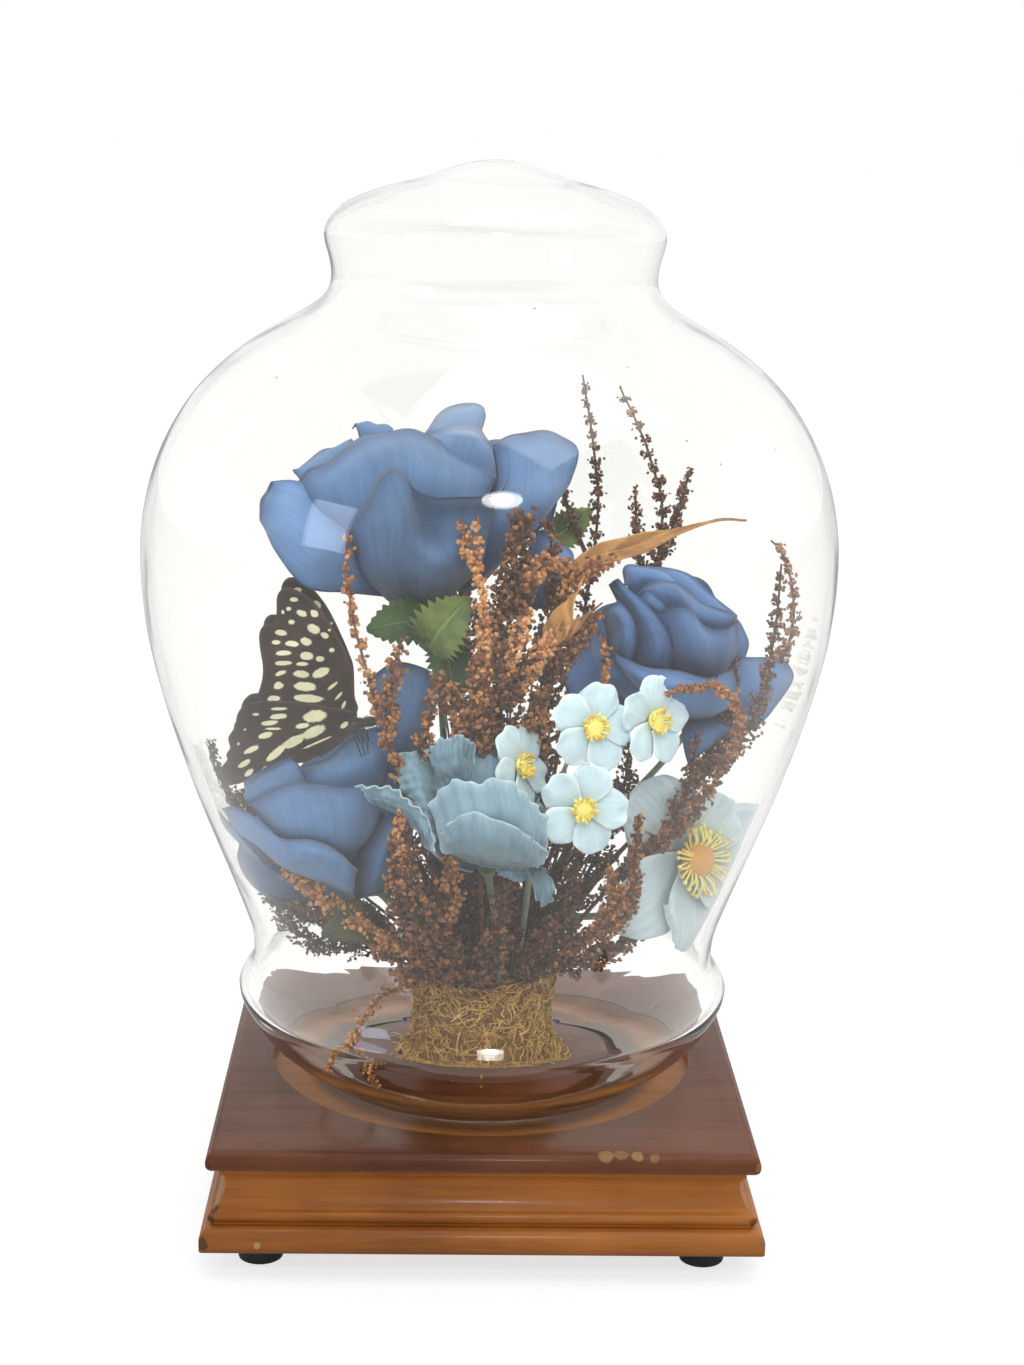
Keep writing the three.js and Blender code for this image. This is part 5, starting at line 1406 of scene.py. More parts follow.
SPRAYS = {
    "spray_middle": (1.0, [
        (8.8, 2700, 0.4, 0.27, [(4, -14, 70), (4, -30, 110), (3, -42, 150), (6, -42, 190), (8, -38, 206)]),
        (3.4, 361, 0.1, 0.72, [(4, -42, 156), (0, -46, 168), (-2, -47, 179)]),
        (3.4, 361, 0.1, 0.76, [(4, -42, 158), (6, -47, 170), (9, -47, 180)]),
        (3.4, 323, 0.1, 0.7, [(5, -42, 154), (11, -46, 166), (16, -46, 174)]),
        (3.0, 304, 0.1, 0.55, [(5, -42, 182), (12, -44, 191), (20, -42, 192)]),
    ]),
    "spray_middle_left": (0.95, [
        (3.0, 736, 0.35, 0.74, [(0, -16, 70), (-2, -30, 112), (-2, -43, 150), (-2, -45, 176),
                                (-4.5, -45, 197), (-4, -43, 205)]),
        (1.8, 112, 0.1, 0.7, [(-4, -45, 188), (-7, -45, 197), (-8.5, -44, 204)]),
        (5.2, 560, 0.1, 0.4, [(-2, -36, 130), (-8, -44, 146), (-12, -45, 161)]),
        (5.2, 560, 0.1, 0.5, [(-2, -36, 132), (-3, -45, 150), (-4, -46, 167)]),
    ]),
    "spray_middle_right": (0.95, [
        (5.2, 1200, 0.3, 0.3, [(9, -12, 70), (14, -26, 120), (16, -34, 160), (17, -30, 186), (15, -28, 203)]),
        (3.7, 380, 0.1, 0.58, [(16, -33, 176), (24, -34, 189), (33, -33, 192)]),
        (3.7, 361, 0.1, 0.4, [(16, -34, 156), (22, -38, 169), (29, -38, 178)]),
        (4.6, 560, 0.1, 0.45, [(13, -28, 128), (12, -41, 144), (14, -45, 159)]),
        (1.5, 209, 0.1, 0.55, [(16, -30, 140), (27, -41, 151), (31, -43, 162), (30, -43, 173)]),
    ]),
    "spray_tall_left": (0.8, [
        (2.6, 1012, 0.35, 0.28, [(10, 4, 70), (22, 10, 130), (31, 14, 190), (30, 14, 215), (26, 14, 238)]),
        (1.8, 220, 0.1, 0.28, [(28, 14, 186), (22, 14, 202), (21, 13, 213)]),
    ]),
    "spray_tall_right": (0.8, [
        (2.8, 1056, 0.4, 0.3, [(14, 0, 70), (36, 10, 130), (50, 14, 190), (46, 16, 215), (37, 16, 235)]),
        (2.5, 418, 0.1, 0.34, [(47, 14, 176), (54, 13, 196), (58, 12, 212)]),
        (2.1, 330, 0.1, 0.3, [(46, 14, 170), (43, 12, 190), (42, 12, 206)]),
    ]),
    "spray_right": (0.85, [
        (6.5, 1100, 0.1, 0.24, [(16, -6, 70), (28, -18, 96), (37, -25, 120), (40, -25, 141)]),
        (3.4, 1056, 0.35, 0.36, [(16, -6, 70), (44, -14, 110), (72, -20, 140), (80, -16, 165),
                                 (82, -12, 188)]),
        (3.4, 440, 0.1, 0.3, [(58, -16, 126), (67, -16, 142), (70, -14, 162)]),
    ]),
    "spray_far_right": (0.85, [
        (2.8, 968, 0.35, 0.6, [(15, 6, 70), (46, 16, 100), (78, 16, 135), (90, 10, 165), (86, 6, 186),
                               (81, 4, 192)]),
        (2.8, 352, 0.1, 0.35, [(70, 15, 126), (82, 8, 142), (87, 4, 160)]),
    ]),
    "spray_left": (0.9, [
        (2.3, 495, 0.3, 0.6, [(-8, -12, 70), (-20, -36, 120), (-29, -46, 150), (-37, -46, 178),
                              (-39, -44, 202)]),
        (3.0, 225, 0.1, 0.5, [(-27, -44, 142), (-27, -47, 158), (-24, -46, 172)]),
        (3.0, 225, 0.1, 0.45, [(-22, -39, 128), (-17, -46, 146), (-15, -46, 162)]),
    ]),
    "spray_low_left": (0.9, [
        (3.0, 1120, 0.25, 0.72, [(-12, -13, 66), (-20, -38, 82), (-31, -46, 89), (-42, -47, 98),
                                 (-53, -46, 107), (-63, -41, 118)]),
        (1.8, 208, 0.2, 0.42, [(-20, -30, 78), (-41, -36, 90), (-56, -32, 94)]),
    ]),
    "spray_low_back": (0.75, [
        (5.8, 1560, 0.25, 0.24, [(-15, -2, 66), (-34, 0, 78), (-52, 0, 82), (-62, 0, 84)]),
        (4.6, 780, 0.1, 0.2, [(-34, 0, 78), (-50, -6, 92), (-60, -12, 104)]),
        (4.5, 700, 0.05, 0.22, [(-26, -6, 72), (-44, -10, 73), (-57, -12, 80), (-62, -12, 90)]),
        (4.0, 500, 0.05, 0.26, [(-40, -4, 78), (-56, -16, 86), (-64, -24, 98)]),
    ]),
    "spray_far_left": (0.75, [
        (5.8, 1820, 0.3, 0.22, [(-16, 5, 68), (-42, 12, 86), (-66, 12, 102), (-80, 8, 116), (-82, 6, 130)]),
        (4.6, 832, 0.1, 0.2, [(-50, 12, 92), (-62, 4, 104), (-72, 0, 116)]),
    ]),
    "spray_low_middle": (0.95, [
        (5.0, 600, 0.02, 0.3, [(-2, -18, 67), (0, -36, 78), (3, -46, 92), (4, -46, 104)]),
        (7.5, 2200, 0.1, 0.34, [(-5, -18, 66), (-15, -43, 87), (-22, -55, 104), (-23.5, -55, 122)]),
        (5.5, 700, 0.02, 0.46, [(-8, -16, 66), (-22, -38, 78), (-33, -46, 90), (-36, -46, 98)]),
        (3.4, 380, 0.1, 0.52, [(-12, -42, 86), (-10, -52, 104), (-11, -53, 118)]),
        (1.7, 160, 0.05, 0.75, [(-22, -55, 108), (-24, -56, 118), (-24, -55, 127)]),
    ]),
    "spray_low_right": (0.89, [
        (6.0, 900, 0.02, 0.26, [(10, -14, 67), (17, -32, 78), (22, -42, 92), (25, -46, 106)]),
        (3.0, 1000, 0.3, 0.42, [(12, -15, 66), (24, -40, 84), (38, -46, 97), (40, -46, 112), (41, -45, 124)]),
        (4.6, 700, 0.1, 0.34, [(18, -28, 74), (30, -40, 81), (41, -40, 87)]),
        (3.9, 480, 0.1, 0.6, [(28, -41, 86), (35, -47, 99), (33, -48, 110)]),
    ]),
    "spray_right_front": (0.89, [
        (2.7, 900, 0.35, 0.42, [(17, -10, 68), (36, -30, 100), (54, -42, 122), (70, -36, 144)]),
        (1.8, 336, 0.15, 0.6, [(62, -39, 133), (69, -36, 150), (60, -41, 159), (47, -44, 158)]),
        (3.0, 300, 0.1, 0.35, [(46, -39, 112), (56, -30, 128), (58, -26, 142)]),
    ]),
    "spray_floor": (0.85, [
        (1.5, 255, 0.1, 0.78, [(-19, -13, 64), (-30, -22, 62), (-36, -30, 50), (-30, -38, 39.5)]),
        (1.4, 120, 0.1, 0.95, [(-34, -27, 54), (-42, -30, 46), (-46, -32, 40)]),
    ]),
    "spray_back": (0.95, [
        (7.5, 1440, 0.3, 0.36, [(2, 16, 70), (0, 36, 110), (-6, 44, 150), (-10, 42, 185), (-8, 38, 210)]),
    ]),
}


def make_sprays(grain, fullness):
    husk = tinted("Dried husks", HUSK_STOPS, 0.85)
    for k, (name, (size, plumes)) in enumerate(SPRAYS.items()):
        rng = np.random.default_rng(40 + k)
        heap = Heap()
        for plume, husks, bare, tone, path in plumes:
            add_plume(heap, path, plume, int(husks * fullness), bare, grain * size, tone, rng, 40, size < 0.9)
        heap.points = [inside_glass(points) for points in heap.points]
        for points in heap.points:
            points[:, 2] = np.maximum(points[:, 2], PLINTH_TOP + 0.1)
        finish(heap.build(name), name + "_plume", husk, "dried_brown", name)


BUNCH_OUTLINE = [(15, 0), (27, 16), (38, 32), (40, 46), (28, 62), (18, 84), (7, 98), (1, 100)]


def make_bunch(grain, count):
    """Small plumes arching up and out of the moss, in place of the solid heart of the bunch."""
    rng = np.random.default_rng(7)
    heap = Heap()
    heights = np.array([z for _, z in BUNCH_OUTLINE])
    radii = np.array([r for r, _ in BUNCH_OUTLINE])
    base = MOSS_TOP + 0.3
    middle = np.array([2, 2, base])
    plumes = 190
    for k in range(plumes):
        angle = 2.39996 * k + rng.uniform(-0.3, 0.3)
        height = 5 + 78 * (k / plumes) ** 1.5 + rng.uniform(-3, 3)
        wide = np.interp(height, heights, radii) * math.sqrt(rng.uniform(0.2, 0.95))
        way = np.array([math.cos(angle), math.sin(angle), 0])
        start = middle + way * rng.uniform(2, 17) + (0, 0, -2)
        end = middle + way * wide + (0, 0, height)
        bow = start + (end - start) * 0.5 + way * rng.uniform(-3, 2) + (0, 0, rng.uniform(0, 6))
        tone = rng.uniform(0.14, 0.36) if k % 4 else rng.uniform(0.42, 0.66)
        add_plume(heap, [start, bow, end], 5.0, count // plumes, 0.02, grain * 0.88, tone, rng, 10, True)
    heap.points = [inside_glass(points) for points in heap.points]
    finish(heap.build("bunch"), "husk_bunch", tinted("Bunch husks", HUSK_STOPS, 0.9), "dried_brown",
           "dried_bunch")


def add_fibre(heap, line, thickest, tone, rng):
    radius = rng.uniform(0.12, thickest)
    tint = float(np.clip(rng.normal(tone, 0.22), 0, 1))
    heap.add(*rod(spline(line, 4), radius, 3), tint=tint)

def make_moss(fibres):
    """A lumpy core with bent fibres laid over it, and crumbs round its foot."""
    rng = np.random.default_rng(11)
    heap = Heap()
    tall = MOSS_TOP - PLINTH_TOP
    rings, around = 12, 48
    points = []
    for i in range(rings + 1):
        z = tall * i / rings
        for k in range(around):
            angle = 2 * math.pi * k / around
            waist = 1 - 0.09 * math.sin(math.pi * i / rings)
            radius = 21.6 * waist * (1 + 0.03 * math.sin(5 * angle + z * 0.4))
            radius = radius - (1.5 if i in (0, rings) else 0) + rng.uniform(-0.3, 0.3)
            points.append((radius * math.cos(angle), radius * math.sin(angle),
                           PLINTH_TOP + 0.1 + min(z, tall - 0.6)))
    faces = [(i * around + k, i * around + (k + 1) % around, (i + 1) * around + (k + 1) % around,
              (i + 1) * around + k)
             for i in range(rings) for k in range(around)]
    faces.append(tuple(range(around - 1, -1, -1)))
    faces.append(tuple(range(rings * around, (rings + 1) * around)))
    heap.add(points, faces, 0.12)
    for _ in range(fibres // 5):
        angle = rng.uniform(0, 2 * math.pi)
        radius = 20.5 + abs(rng.normal()) * 2.2
        centre = np.array([radius * math.cos(angle), radius * math.sin(angle),
                           PLINTH_TOP + rng.uniform(0.4, 2.2)])
        way = rng.normal(size=3) * (1, 1, 0.25)
        way *= rng.uniform(1.5, 3.0) / np.linalg.norm(way)
        line = np.array([centre - way, centre + (0, 0, rng.uniform(0.2, 1.2)), centre + way])
        line[:, 2] = np.maximum(line[:, 2], PLINTH_TOP + 0.25)
        add_fibre(heap, line, 0.24, 0.6, rng)
    for _ in range(fibres):
        angle = rng.uniform(0, 2 * math.pi)
        z = PLINTH_TOP + rng.uniform(0.3, tall - 0.3)
        on_top = rng.random() < 0.22
        side = 21.2 * (1 - 0.09 * math.sin(math.pi * (z - PLINTH_TOP) / tall))
        radius = rng.uniform(3, 21.5) if on_top else side
        centre = np.array([radius * math.cos(angle), radius * math.sin(angle),
                           MOSS_TOP - 0.8 if on_top else z])
        outward = np.array([0, 0, 1]) if on_top else np.array([math.cos(angle), math.sin(angle), 0])
        way = np.cross(outward, rng.normal(size=3))
        way /= np.linalg.norm(way)
        length = rng.uniform(2.0, 6.5)
        lift = outward * rng.uniform(0.4, 2.0)
        line = np.array([centre - way * length / 2, centre + lift,
                         centre + way * length / 2 + outward * rng.uniform(-0.4, 1.2)])
        line[:, 2] = np.clip(line[:, 2], PLINTH_TOP + 0.25, MOSS_TOP - 0.25)
        add_fibre(heap, line, 0.26, 0.55, rng)
    crumbs = []
    for _ in range(420):
        angle = rng.uniform(0, 2 * math.pi)
        radius = 20.5 + abs(rng.normal()) * 3.0
        crumbs.append((min(radius, 34) * math.cos(angle), min(radius, 34) * math.sin(angle),
                       PLINTH_TOP + 0.35))
    add_grains(heap, crumbs, 0.5, 0.6, 0.2, rng)
    finish(heap.build("moss"), "moss_fibres", tinted("Dry moss", MOSS_STOPS, 0.95, lumps=1600.0), "moss",
           "moss_column")


# Butterfly. Places are (right, down) in a crop of the photograph, which the wings' plane lies across.

CROP_LEFT, CROP_TOP, CROP_ZOOM = 225, 570, 7.124
WING_DEPTH = -34.0
WING_THICKNESS = 0.16
SPOT_SCALE = 26.5

FOREWING_OUTLINE = [
    (935, 1005), (925, 900), (915, 700), (880, 600), (830, 490), (770, 370), (700, 265), (620, 175),
    (520, 105),
    (440, 95), (392, 150), (386, 250), (380, 340), (310, 355), (275, 390), (262, 450), (270, 540), (286, 640),
    (285, 730), (268, 810), (250, 890), (330, 935), (480, 960), (680, 985),
]
HINDWING_OUTLINE = [
    (930, 1000), (760, 960), (560, 925), (380, 905), (205, 910), (140, 945), (110, 995), (97, 1070),
    (55, 1140),
    (58, 1185), (65, 1220), (42, 1262), (48, 1300), (15, 1345), (5, 1385), (18, 1440), (40, 1470),
    (100, 1475),
    (160, 1460), (215, 1415), (260, 1395), (300, 1360), (330, 1350), (400, 1325), (480, 1290), (520, 1340),
    (600, 1335), (700, 1280), (860, 1180), (925, 1100),
]
FOREWING_SPOTS = [
    (508, 180, 30, 17, 0), (471, 245, 18, 15, 0), (430, 267, 11, 15, 0), (562, 280, 38, 22, 20),
    (648, 282, 32, 24, 40), (491, 340, 22, 18, 0), (643, 395, 46, 34, 30), (755, 404, 12, 9, 0),
    (722, 443, 30, 22, 20), (415, 418, 42, 22, 10), (588, 485, 40, 28, 20), (378, 487, 30, 16, 0),
    (490, 500, 46, 22, 5), (771, 550, 20, 16, 0), (428, 565, 55, 19, 0), (592, 590, 50, 30, 5),
    (685, 612, 30, 22, 0), (430, 637, 55, 18, 0), (560, 648, 40, 16, 0), (410, 710, 40, 17, -20),
    (553, 722, 55, 27, 10), (690, 715, 66, 32, -25), (393, 800, 34, 28, 0), (578, 812, 78, 32, 5),
    (772, 812, 50, 12, -40), (362, 890, 45, 22, 0), (600, 895, 100, 28, 5), (815, 885, 45, 10, -50),
    (850, 950, 38, 11, -65),
]
HINDWING_SPOTS = [
    (650, 1020, 80, 44, -8), (400, 962, 60, 11, 0), (240, 995, 24, 10, 0), (395, 1015, 60, 20, -5),
    (335, 1058, 62, 18, -8), (165, 1098, 9, 9, 0), (360, 1100, 56, 9, 0), (305, 1145, 48, 22, -15),
    (122, 1193, 9, 12, 0), (210, 1238, 55, 20, -25), (165, 1332, 48, 19, -35), (197, 1397, 34, 18, -40),
    (380, 1270, 85, 26, -40), (500, 1195, 90, 34, -28), (640, 1130, 90, 36, -25), (665, 1205, 110, 8, -24),
    (855, 1088, 34, 18, -40), (560, 1085, 50, 20, -10),
]
FOREWING_VEINS = [(560, 150), (440, 200), (400, 380), (330, 450), (330, 600), (330, 680), (320, 760),
                  (300, 850)]
HINDWING_VEINS = [(200, 950), (150, 1050), (100, 1150), (120, 1270), (110, 1370), (200, 1450), (330, 1370)]


def crop_places(places):
    """Crop places as (x, z) in millimetres on the wings' plane."""
    found = [seen(CROP_LEFT + u / CROP_ZOOM, CROP_TOP + v / CROP_ZOOM, WING_DEPTH) for u, v in places]
    return np.array([(p.x, p.z) for p in found])


def closed_curve(points, count):
    """Even samples round a smooth closed outline."""
    loop = np.vstack([points[-2:], points, points[:2]])
    fine = []
    for i in range(len(points)):
        a, b, c, d = loop[i + 1:i + 5]
        for t in np.linspace(0, 1, 12, endpoint=False):
            fine.append(between(a, b, c, d, t))
    return evened(np.array(fine + [fine[0]]), count, closed=True)


def spot_field(flat, spots):
    """How far inside a pale spot each place is, from 0 outside to 1 in the middle."""
    best = np.zeros(len(flat))
    for u, v, wide, tall, turn in spots:
        centre = crop_places([(u, v)])[0]
        angle = math.radians(turn)
        dx, dz = flat[:, 0] - centre[0], flat[:, 1] - centre[1]
        along = (dx * math.cos(angle) - dz * math.sin(angle)) / (wide / SPOT_SCALE)
        over = (dx * math.sin(angle) + dz * math.cos(angle)) / (tall / SPOT_SCALE)
        best = np.maximum(best, 1 - 0.5 * np.hypot(along, over))
    return best


def vein_field(flat, root, tips):
    """1 on a vein and 0 away from it."""
    best = np.zeros(len(flat))
    for tip in tips:
        way = tip - root
        t = np.clip(((flat - root) @ way) / (way @ way), 0, 1)
        far = np.linalg.norm(flat - (root + t[:, None] * way), axis=1)
        best = np.maximum(best, np.exp(-(far / 0.16)**2))
    return best


def make_wing(name, outline, spots, veins, offset, lean, node, scales, hinge):
    around, rings = 220, 54
    edge = closed_curve(crop_places(outline), around)
    middle = edge.mean(axis=0)
    flat = [middle]
    for i in range(1, rings + 1):
        flat.extend(middle + (edge - middle) * i / rings)
    flat = np.array(flat)
    faces = [(0, 1 + k, 1 + (k + 1) % around) for k in range(around)]
    for i in range(rings - 1):
        for k in range(around):
            a, b = 1 + i * around + k, 1 + i * around + (k + 1) % around
            faces.append((a, a + around, b + around, b))
    rise = np.linalg.norm(flat - hinge, axis=1)
    ripple = 0.18 * np.sin(rise * 0.8 + flat[:, 0] * 0.5)
    leaning = math.tan(math.radians(lean)) * rise
    depth = WING_DEPTH + offset + leaning + 0.002 * rise**2 * np.sign(lean) + ripple
    wing = mesh_object(name, np.stack([flat[:, 0], depth, flat[:, 1]], axis=1), faces)
    inner = np.concatenate([[0], np.repeat(np.arange(1, rings + 1) / rings, around)])
    set_field(wing, "spot", spot_field(flat, spots))
    set_field(wing, "vein", vein_field(flat, hinge, crop_places(veins)))
    set_field(wing, "margin", np.clip((inner - 0.93) / 0.07, 0, 1) * 0.5)
    tint = np.interp(flat[:, 1], [130, 185], [0.35, 0.6]) - np.interp(flat[:, 0], [-60, -40], [0.0, 0.25])
    set_field(wing, "tint", np.clip(tint + (flat[:, 1] < 140) * 0.2, 0, 1))
    apply_modifier(wing, "SOLIDIFY", thickness=WING_THICKNESS * MM, offset=0)
    smooth(wing)
    finish(wing, name, scales, "wing", node)


def make_butterfly():
    scales = wing_scales()
    hinge = crop_places([(930, 1010)])[0]
    fore = (FOREWING_OUTLINE, FOREWING_SPOTS, FOREWING_VEINS)
    hind = (HINDWING_OUTLINE, HINDWING_SPOTS, HINDWING_VEINS)
    wings = [
        ("near_forewing", fore, -0.9, -4, "forewing_left"),
        ("far_forewing", fore, 0.9, 7, "forewing_right"),
        ("near_hindwing", hind, -1.5, -3, "hindwing_left"),
        ("far_hindwing", hind, 1.5, 6, "hindwing_right"),
    ]
    for name, pattern, offset, lean, node in wings:
        make_wing(name, *pattern, offset, lean, node, scales, hinge)
    rng = np.random.default_rng(5)
    heap = Heap()
    x, z = hinge
    spine = ((6.4, -2.4), (3, -2.6), (-1, -4), (-6, -8.2), (-11.4, -12.6))
    line = spline([(x + right, WING_DEPTH, z + up) for right, up in spine], 30)
    swell = np.interp(np.linspace(0, 1, 30), [0, 0.06, 0.12, 0.2, 0.3, 0.42, 0.5, 0.7, 0.9, 1],
                      [0.4, 1.35, 1.5, 1.2, 2.1, 2.0, 1.5, 1.7, 1.2, 0.3])
    heap.add(*rod(line, swell, 16), tint=0.35)
    for side in (-1, 1):
        feeler = [line[1] + (0, side * 0.6, 0.4), line[1] + (3.5, side * 2.4, 6.5),
                  line[1] + (5.0, side * 4.2, 13.0)]
        club = np.interp(np.linspace(0, 1, 14), [0, 0.8, 0.93, 1], [0.13, 0.12, 0.3, 0.16])
        heap.add(*rod(spline(feeler, 14), club, 6), tint=0.2)
        heap.add(grain_shape()[0] * 0.75 + line[2] + np.array([0.3, side * 1.05, 0.2]), grain_shape()[1], 0.1)
        for k, reach in enumerate((6, 8, 10)):
            start = line[reach] + (0, side * 0.8, -1.2)
            leg = [start, start + (1.2, side * 2.4, -2.6), start + (1.8 + 0.5 * k, side * 2.8, -6.6)]
            heap.add(*rod(spline(leg, 8), 0.2, 5), tint=0.15)
    for _ in range(700):
        index = rng.integers(3, 27)
        way = rng.normal(size=3)
        way /= np.linalg.norm(way)
        start = line[index] + way * swell[index] * 0.9
        heap.add(*rod(np.array([start, start + way * rng.uniform(0.4, 1.0) + (-0.3, 0, -0.2)]), 0.05, 3),
                 tint=rng.uniform(0.2, 0.9))
    finish(heap.build("body"), "butterfly_fur", body_fur(), "insect_body", "butterfly_body")


# Leaves and stems

LEAVES = {
    "leaf_under_rose": ("green", 0.35, 0.25, [
        (6.6, 2.0, [(-14, -19, 172), (-24, -27, 172.5), (-34, -29, 171)]),
        (5.6, 1.5, [(-14, -20, 170), (-11, -28, 160), (-9, -31, 150)]),
    ]),
    "leaf_bright": ("bright", 0.45, 0.3, [(7.6, 2.4, [(-17, -25, 164), (-13, -31, 172), (-6, -33, 181)])]),
    "leaf_behind_rose": ("bright", 0.35, 0.25, [(5.5, 2.0, [(14, 16, 184), (22, 19, 191), (30, 20, 198)])]),
    "leaf_low": ("low", 0.35, 0.25, [(6.0, 2.0, [(-30, -38, 90), (-37, -46, 92), (-44, -54, 92)])]),
    "dried_leaf_long": ("dried", 0.0, 0.6, [
        (3.0, -1.0, [(17, -31, 184), (26, -33, 192), (40, -33, 196.5), (53, -32, 201), (62, -31, 203.4),
                     (69, -30, 203)]),
    ]),
    "dried_leaf_short": ("dried", 0.0, 0.7, [
        (3.4, 1.5, [(15, -35, 167), (19, -37, 176), (25, -36, 188)]),
        (1.9, 1.0, [(16, -35, 168), (23, -38, 175), (30, -37, 181)]),
    ]),
}


def leaf_blade(spine, half, sag, teeth, fold):
    """One folded blade along a spine, with a toothed edge, or a long curling tip where it is dry."""
    deselect()
    bpy.ops.mesh.primitive_grid_add(x_subdivisions=20, y_subdivisions=64, size=2)
    leaf = bpy.context.object
    points = mesh_points(leaf)
    u, v = points[:, 0], (points[:, 1] + 1) / 2
    line = spline(spine, 65)
    steps = np.linspace(0, 1, 65)
    place = np.stack([np.interp(v, steps, line[:, k]) for k in range(3)], axis=1)
    tangents = np.gradient(line, axis=0)
    tangents /= np.linalg.norm(tangents, axis=1)[:, None]
    along = np.stack([np.interp(v, steps, tangents[:, k]) for k in range(3)], axis=1)
    sideways = np.cross(along, np.array((0, -1, 0.4)))
    sideways /= np.linalg.norm(sideways, axis=1)[:, None]
    up = np.cross(sideways, along)
    jagged = 1 + teeth * ((v * 13 % 1) - 0.5) * np.abs(u) ** 3
    width = half * np.sin(np.pi * (0.03 + 0.96 * v)) ** 0.8 * jagged
    if not teeth:
        width = half * np.interp(v, [0, 0.12, 0.3, 0.5, 0.66, 0.8, 1], [0.12, 0.5, 1, 0.85, 0.34, 0.13, 0.05])
    lift = np.abs(u) * width * fold + sag * np.sin(np.pi * v) + 0.5 * np.sin(9 * v + 3 * u) * np.abs(u) * v
    if not teeth:
        lift = lift + width * (0.35 * np.sin(11 * v) * u + 0.16 * np.sin(26 * v + 5 * u))
    place = place + (u * width)[:, None] * sideways + lift[:, None] * up
    move_points(leaf, inside_glass(place) * MM)
    apply_modifier(leaf, "SOLIDIFY", thickness=0.3 * MM, offset=0)
    return leaf


def make_leaves():
    cloths = {
        "green": leaf_cloth("Green leaf", (0.06, 0.12, 0.025), (0.02, 0.05, 0.012), (0.12, 0.2, 0.05)),
        "bright": leaf_cloth("Bright leaf", (0.2, 0.26, 0.05), (0.07, 0.12, 0.03), (0.3, 0.36, 0.1)),
        "low": leaf_cloth("Shaded leaf", (0.09, 0.09, 0.04), (0.03, 0.035, 0.018), (0.12, 0.12, 0.06)),
        "dried": leaf_cloth("Dried leaf", (0.62, 0.33, 0.11), (0.3, 0.13, 0.045), (0.75, 0.48, 0.2)),
    }
    for name, (kind, teeth, fold, blades) in LEAVES.items():
        leaf = join([leaf_blade(spine, half, sag, teeth, fold) for half, sag, spine in blades])
        smooth(leaf)
        finish(leaf, name + "_cloth", cloths[kind], "dried_tan" if kind == "dried" else "leaf_green", name)


STEMS = {
    "rose_top_stem": ((-16, -12, 176), (-0.12, -0.04, 1), (-5, -3), [(-12, -8, 130)], 4.0),
    "rose_right_stem": ((55, 4, 143), (-0.38, -0.42, 0.82), (6, 2), [(34, 8, 104)], 4.0),
    "rose_left_stem": ((-30, -22, 97), (-0.42, -0.34, 0.84), (-9, 3), [], 4.0),
    "pale_flower_stem": ((0, -40, 108), (-0.12, -0.45, 0.88), (4, -13), [(4, -30, 84)], 2.2),
    "windflower_stem": ((57.5, -27, 106.5), (0.5, -0.8, 0.12), (12, -4), [(38, -8, 84)], 1.6),
}


def make_stems():
    green = tinted("Wrapped stem", STEM_STOPS, 0.6)
    for name, (foot, aim, root, bow, calyx) in STEMS.items():
        back = np.array(aim) / np.linalg.norm(aim)
        start = (root[0], root[1], MOSS_TOP - 9)
        rise = (root[0] * 1.3, root[1] * 1.3, MOSS_TOP + 14)
        line = spline([start, rise, *bow, np.array(foot) - 11 * back, np.array(foot) - 0.6 * back], 60)
        t = np.linspace(0, 1, 60)
        radii = 1.0 + calyx * np.maximum(0, (t - 0.9) / 0.1) ** 1.5
        heap = Heap()
        heap.add(*rod(line, radii, 14), tint=0.45)
        stem = heap.build(name)
        smooth(stem, 50)
        finish(stem, name + "_wire", green, "stem_green", name)
    heap = Heap()
    fork = np.array((12.0, -34.0, 112.0))
    trunk = spline([(8, -8, MOSS_TOP - 9), (11, -14, MOSS_TOP + 14), (12, -27, 98), fork], 30)
    heap.add(*rod(trunk, 0.9, 10), tint=0.7)
    for centre, aim, _ in FORGET_ME_NOTS.values():
        back = np.array(aim) / np.linalg.norm(aim)
        before = np.array(centre) - 7 * back
        line = spline([fork, fork + (before - fork) * 0.6, before, np.array(centre) - 0.6 * back], 24)
        heap.add(*rod(line, np.interp(np.linspace(0, 1, 24), [0, 0.85, 1], [0.6, 0.6, 1.3]), 8), tint=0.85)
    stalk = heap.build("stalk")
    smooth(stalk, 50)
    finish(stalk, "forget_me_not_wires", green, "stem_green", "forget_me_not_stalk")


# Stage

FLOOR_GLOW = 0.72

def add_lamp(name, place, aim, width, height, power, colour, shape="RECTANGLE"):
    data = bpy.data.lights.new(name, "AREA")
    data.shape = shape
    data.size = width
    data.size_y = height
    data.energy = power
    data.color = colour
    lamp = placed(name, data)
    lamp.location = place
    lamp.rotation_euler = (Vector(aim) - Vector(place)).to_track_quat("-Z", "Y").to_euler()


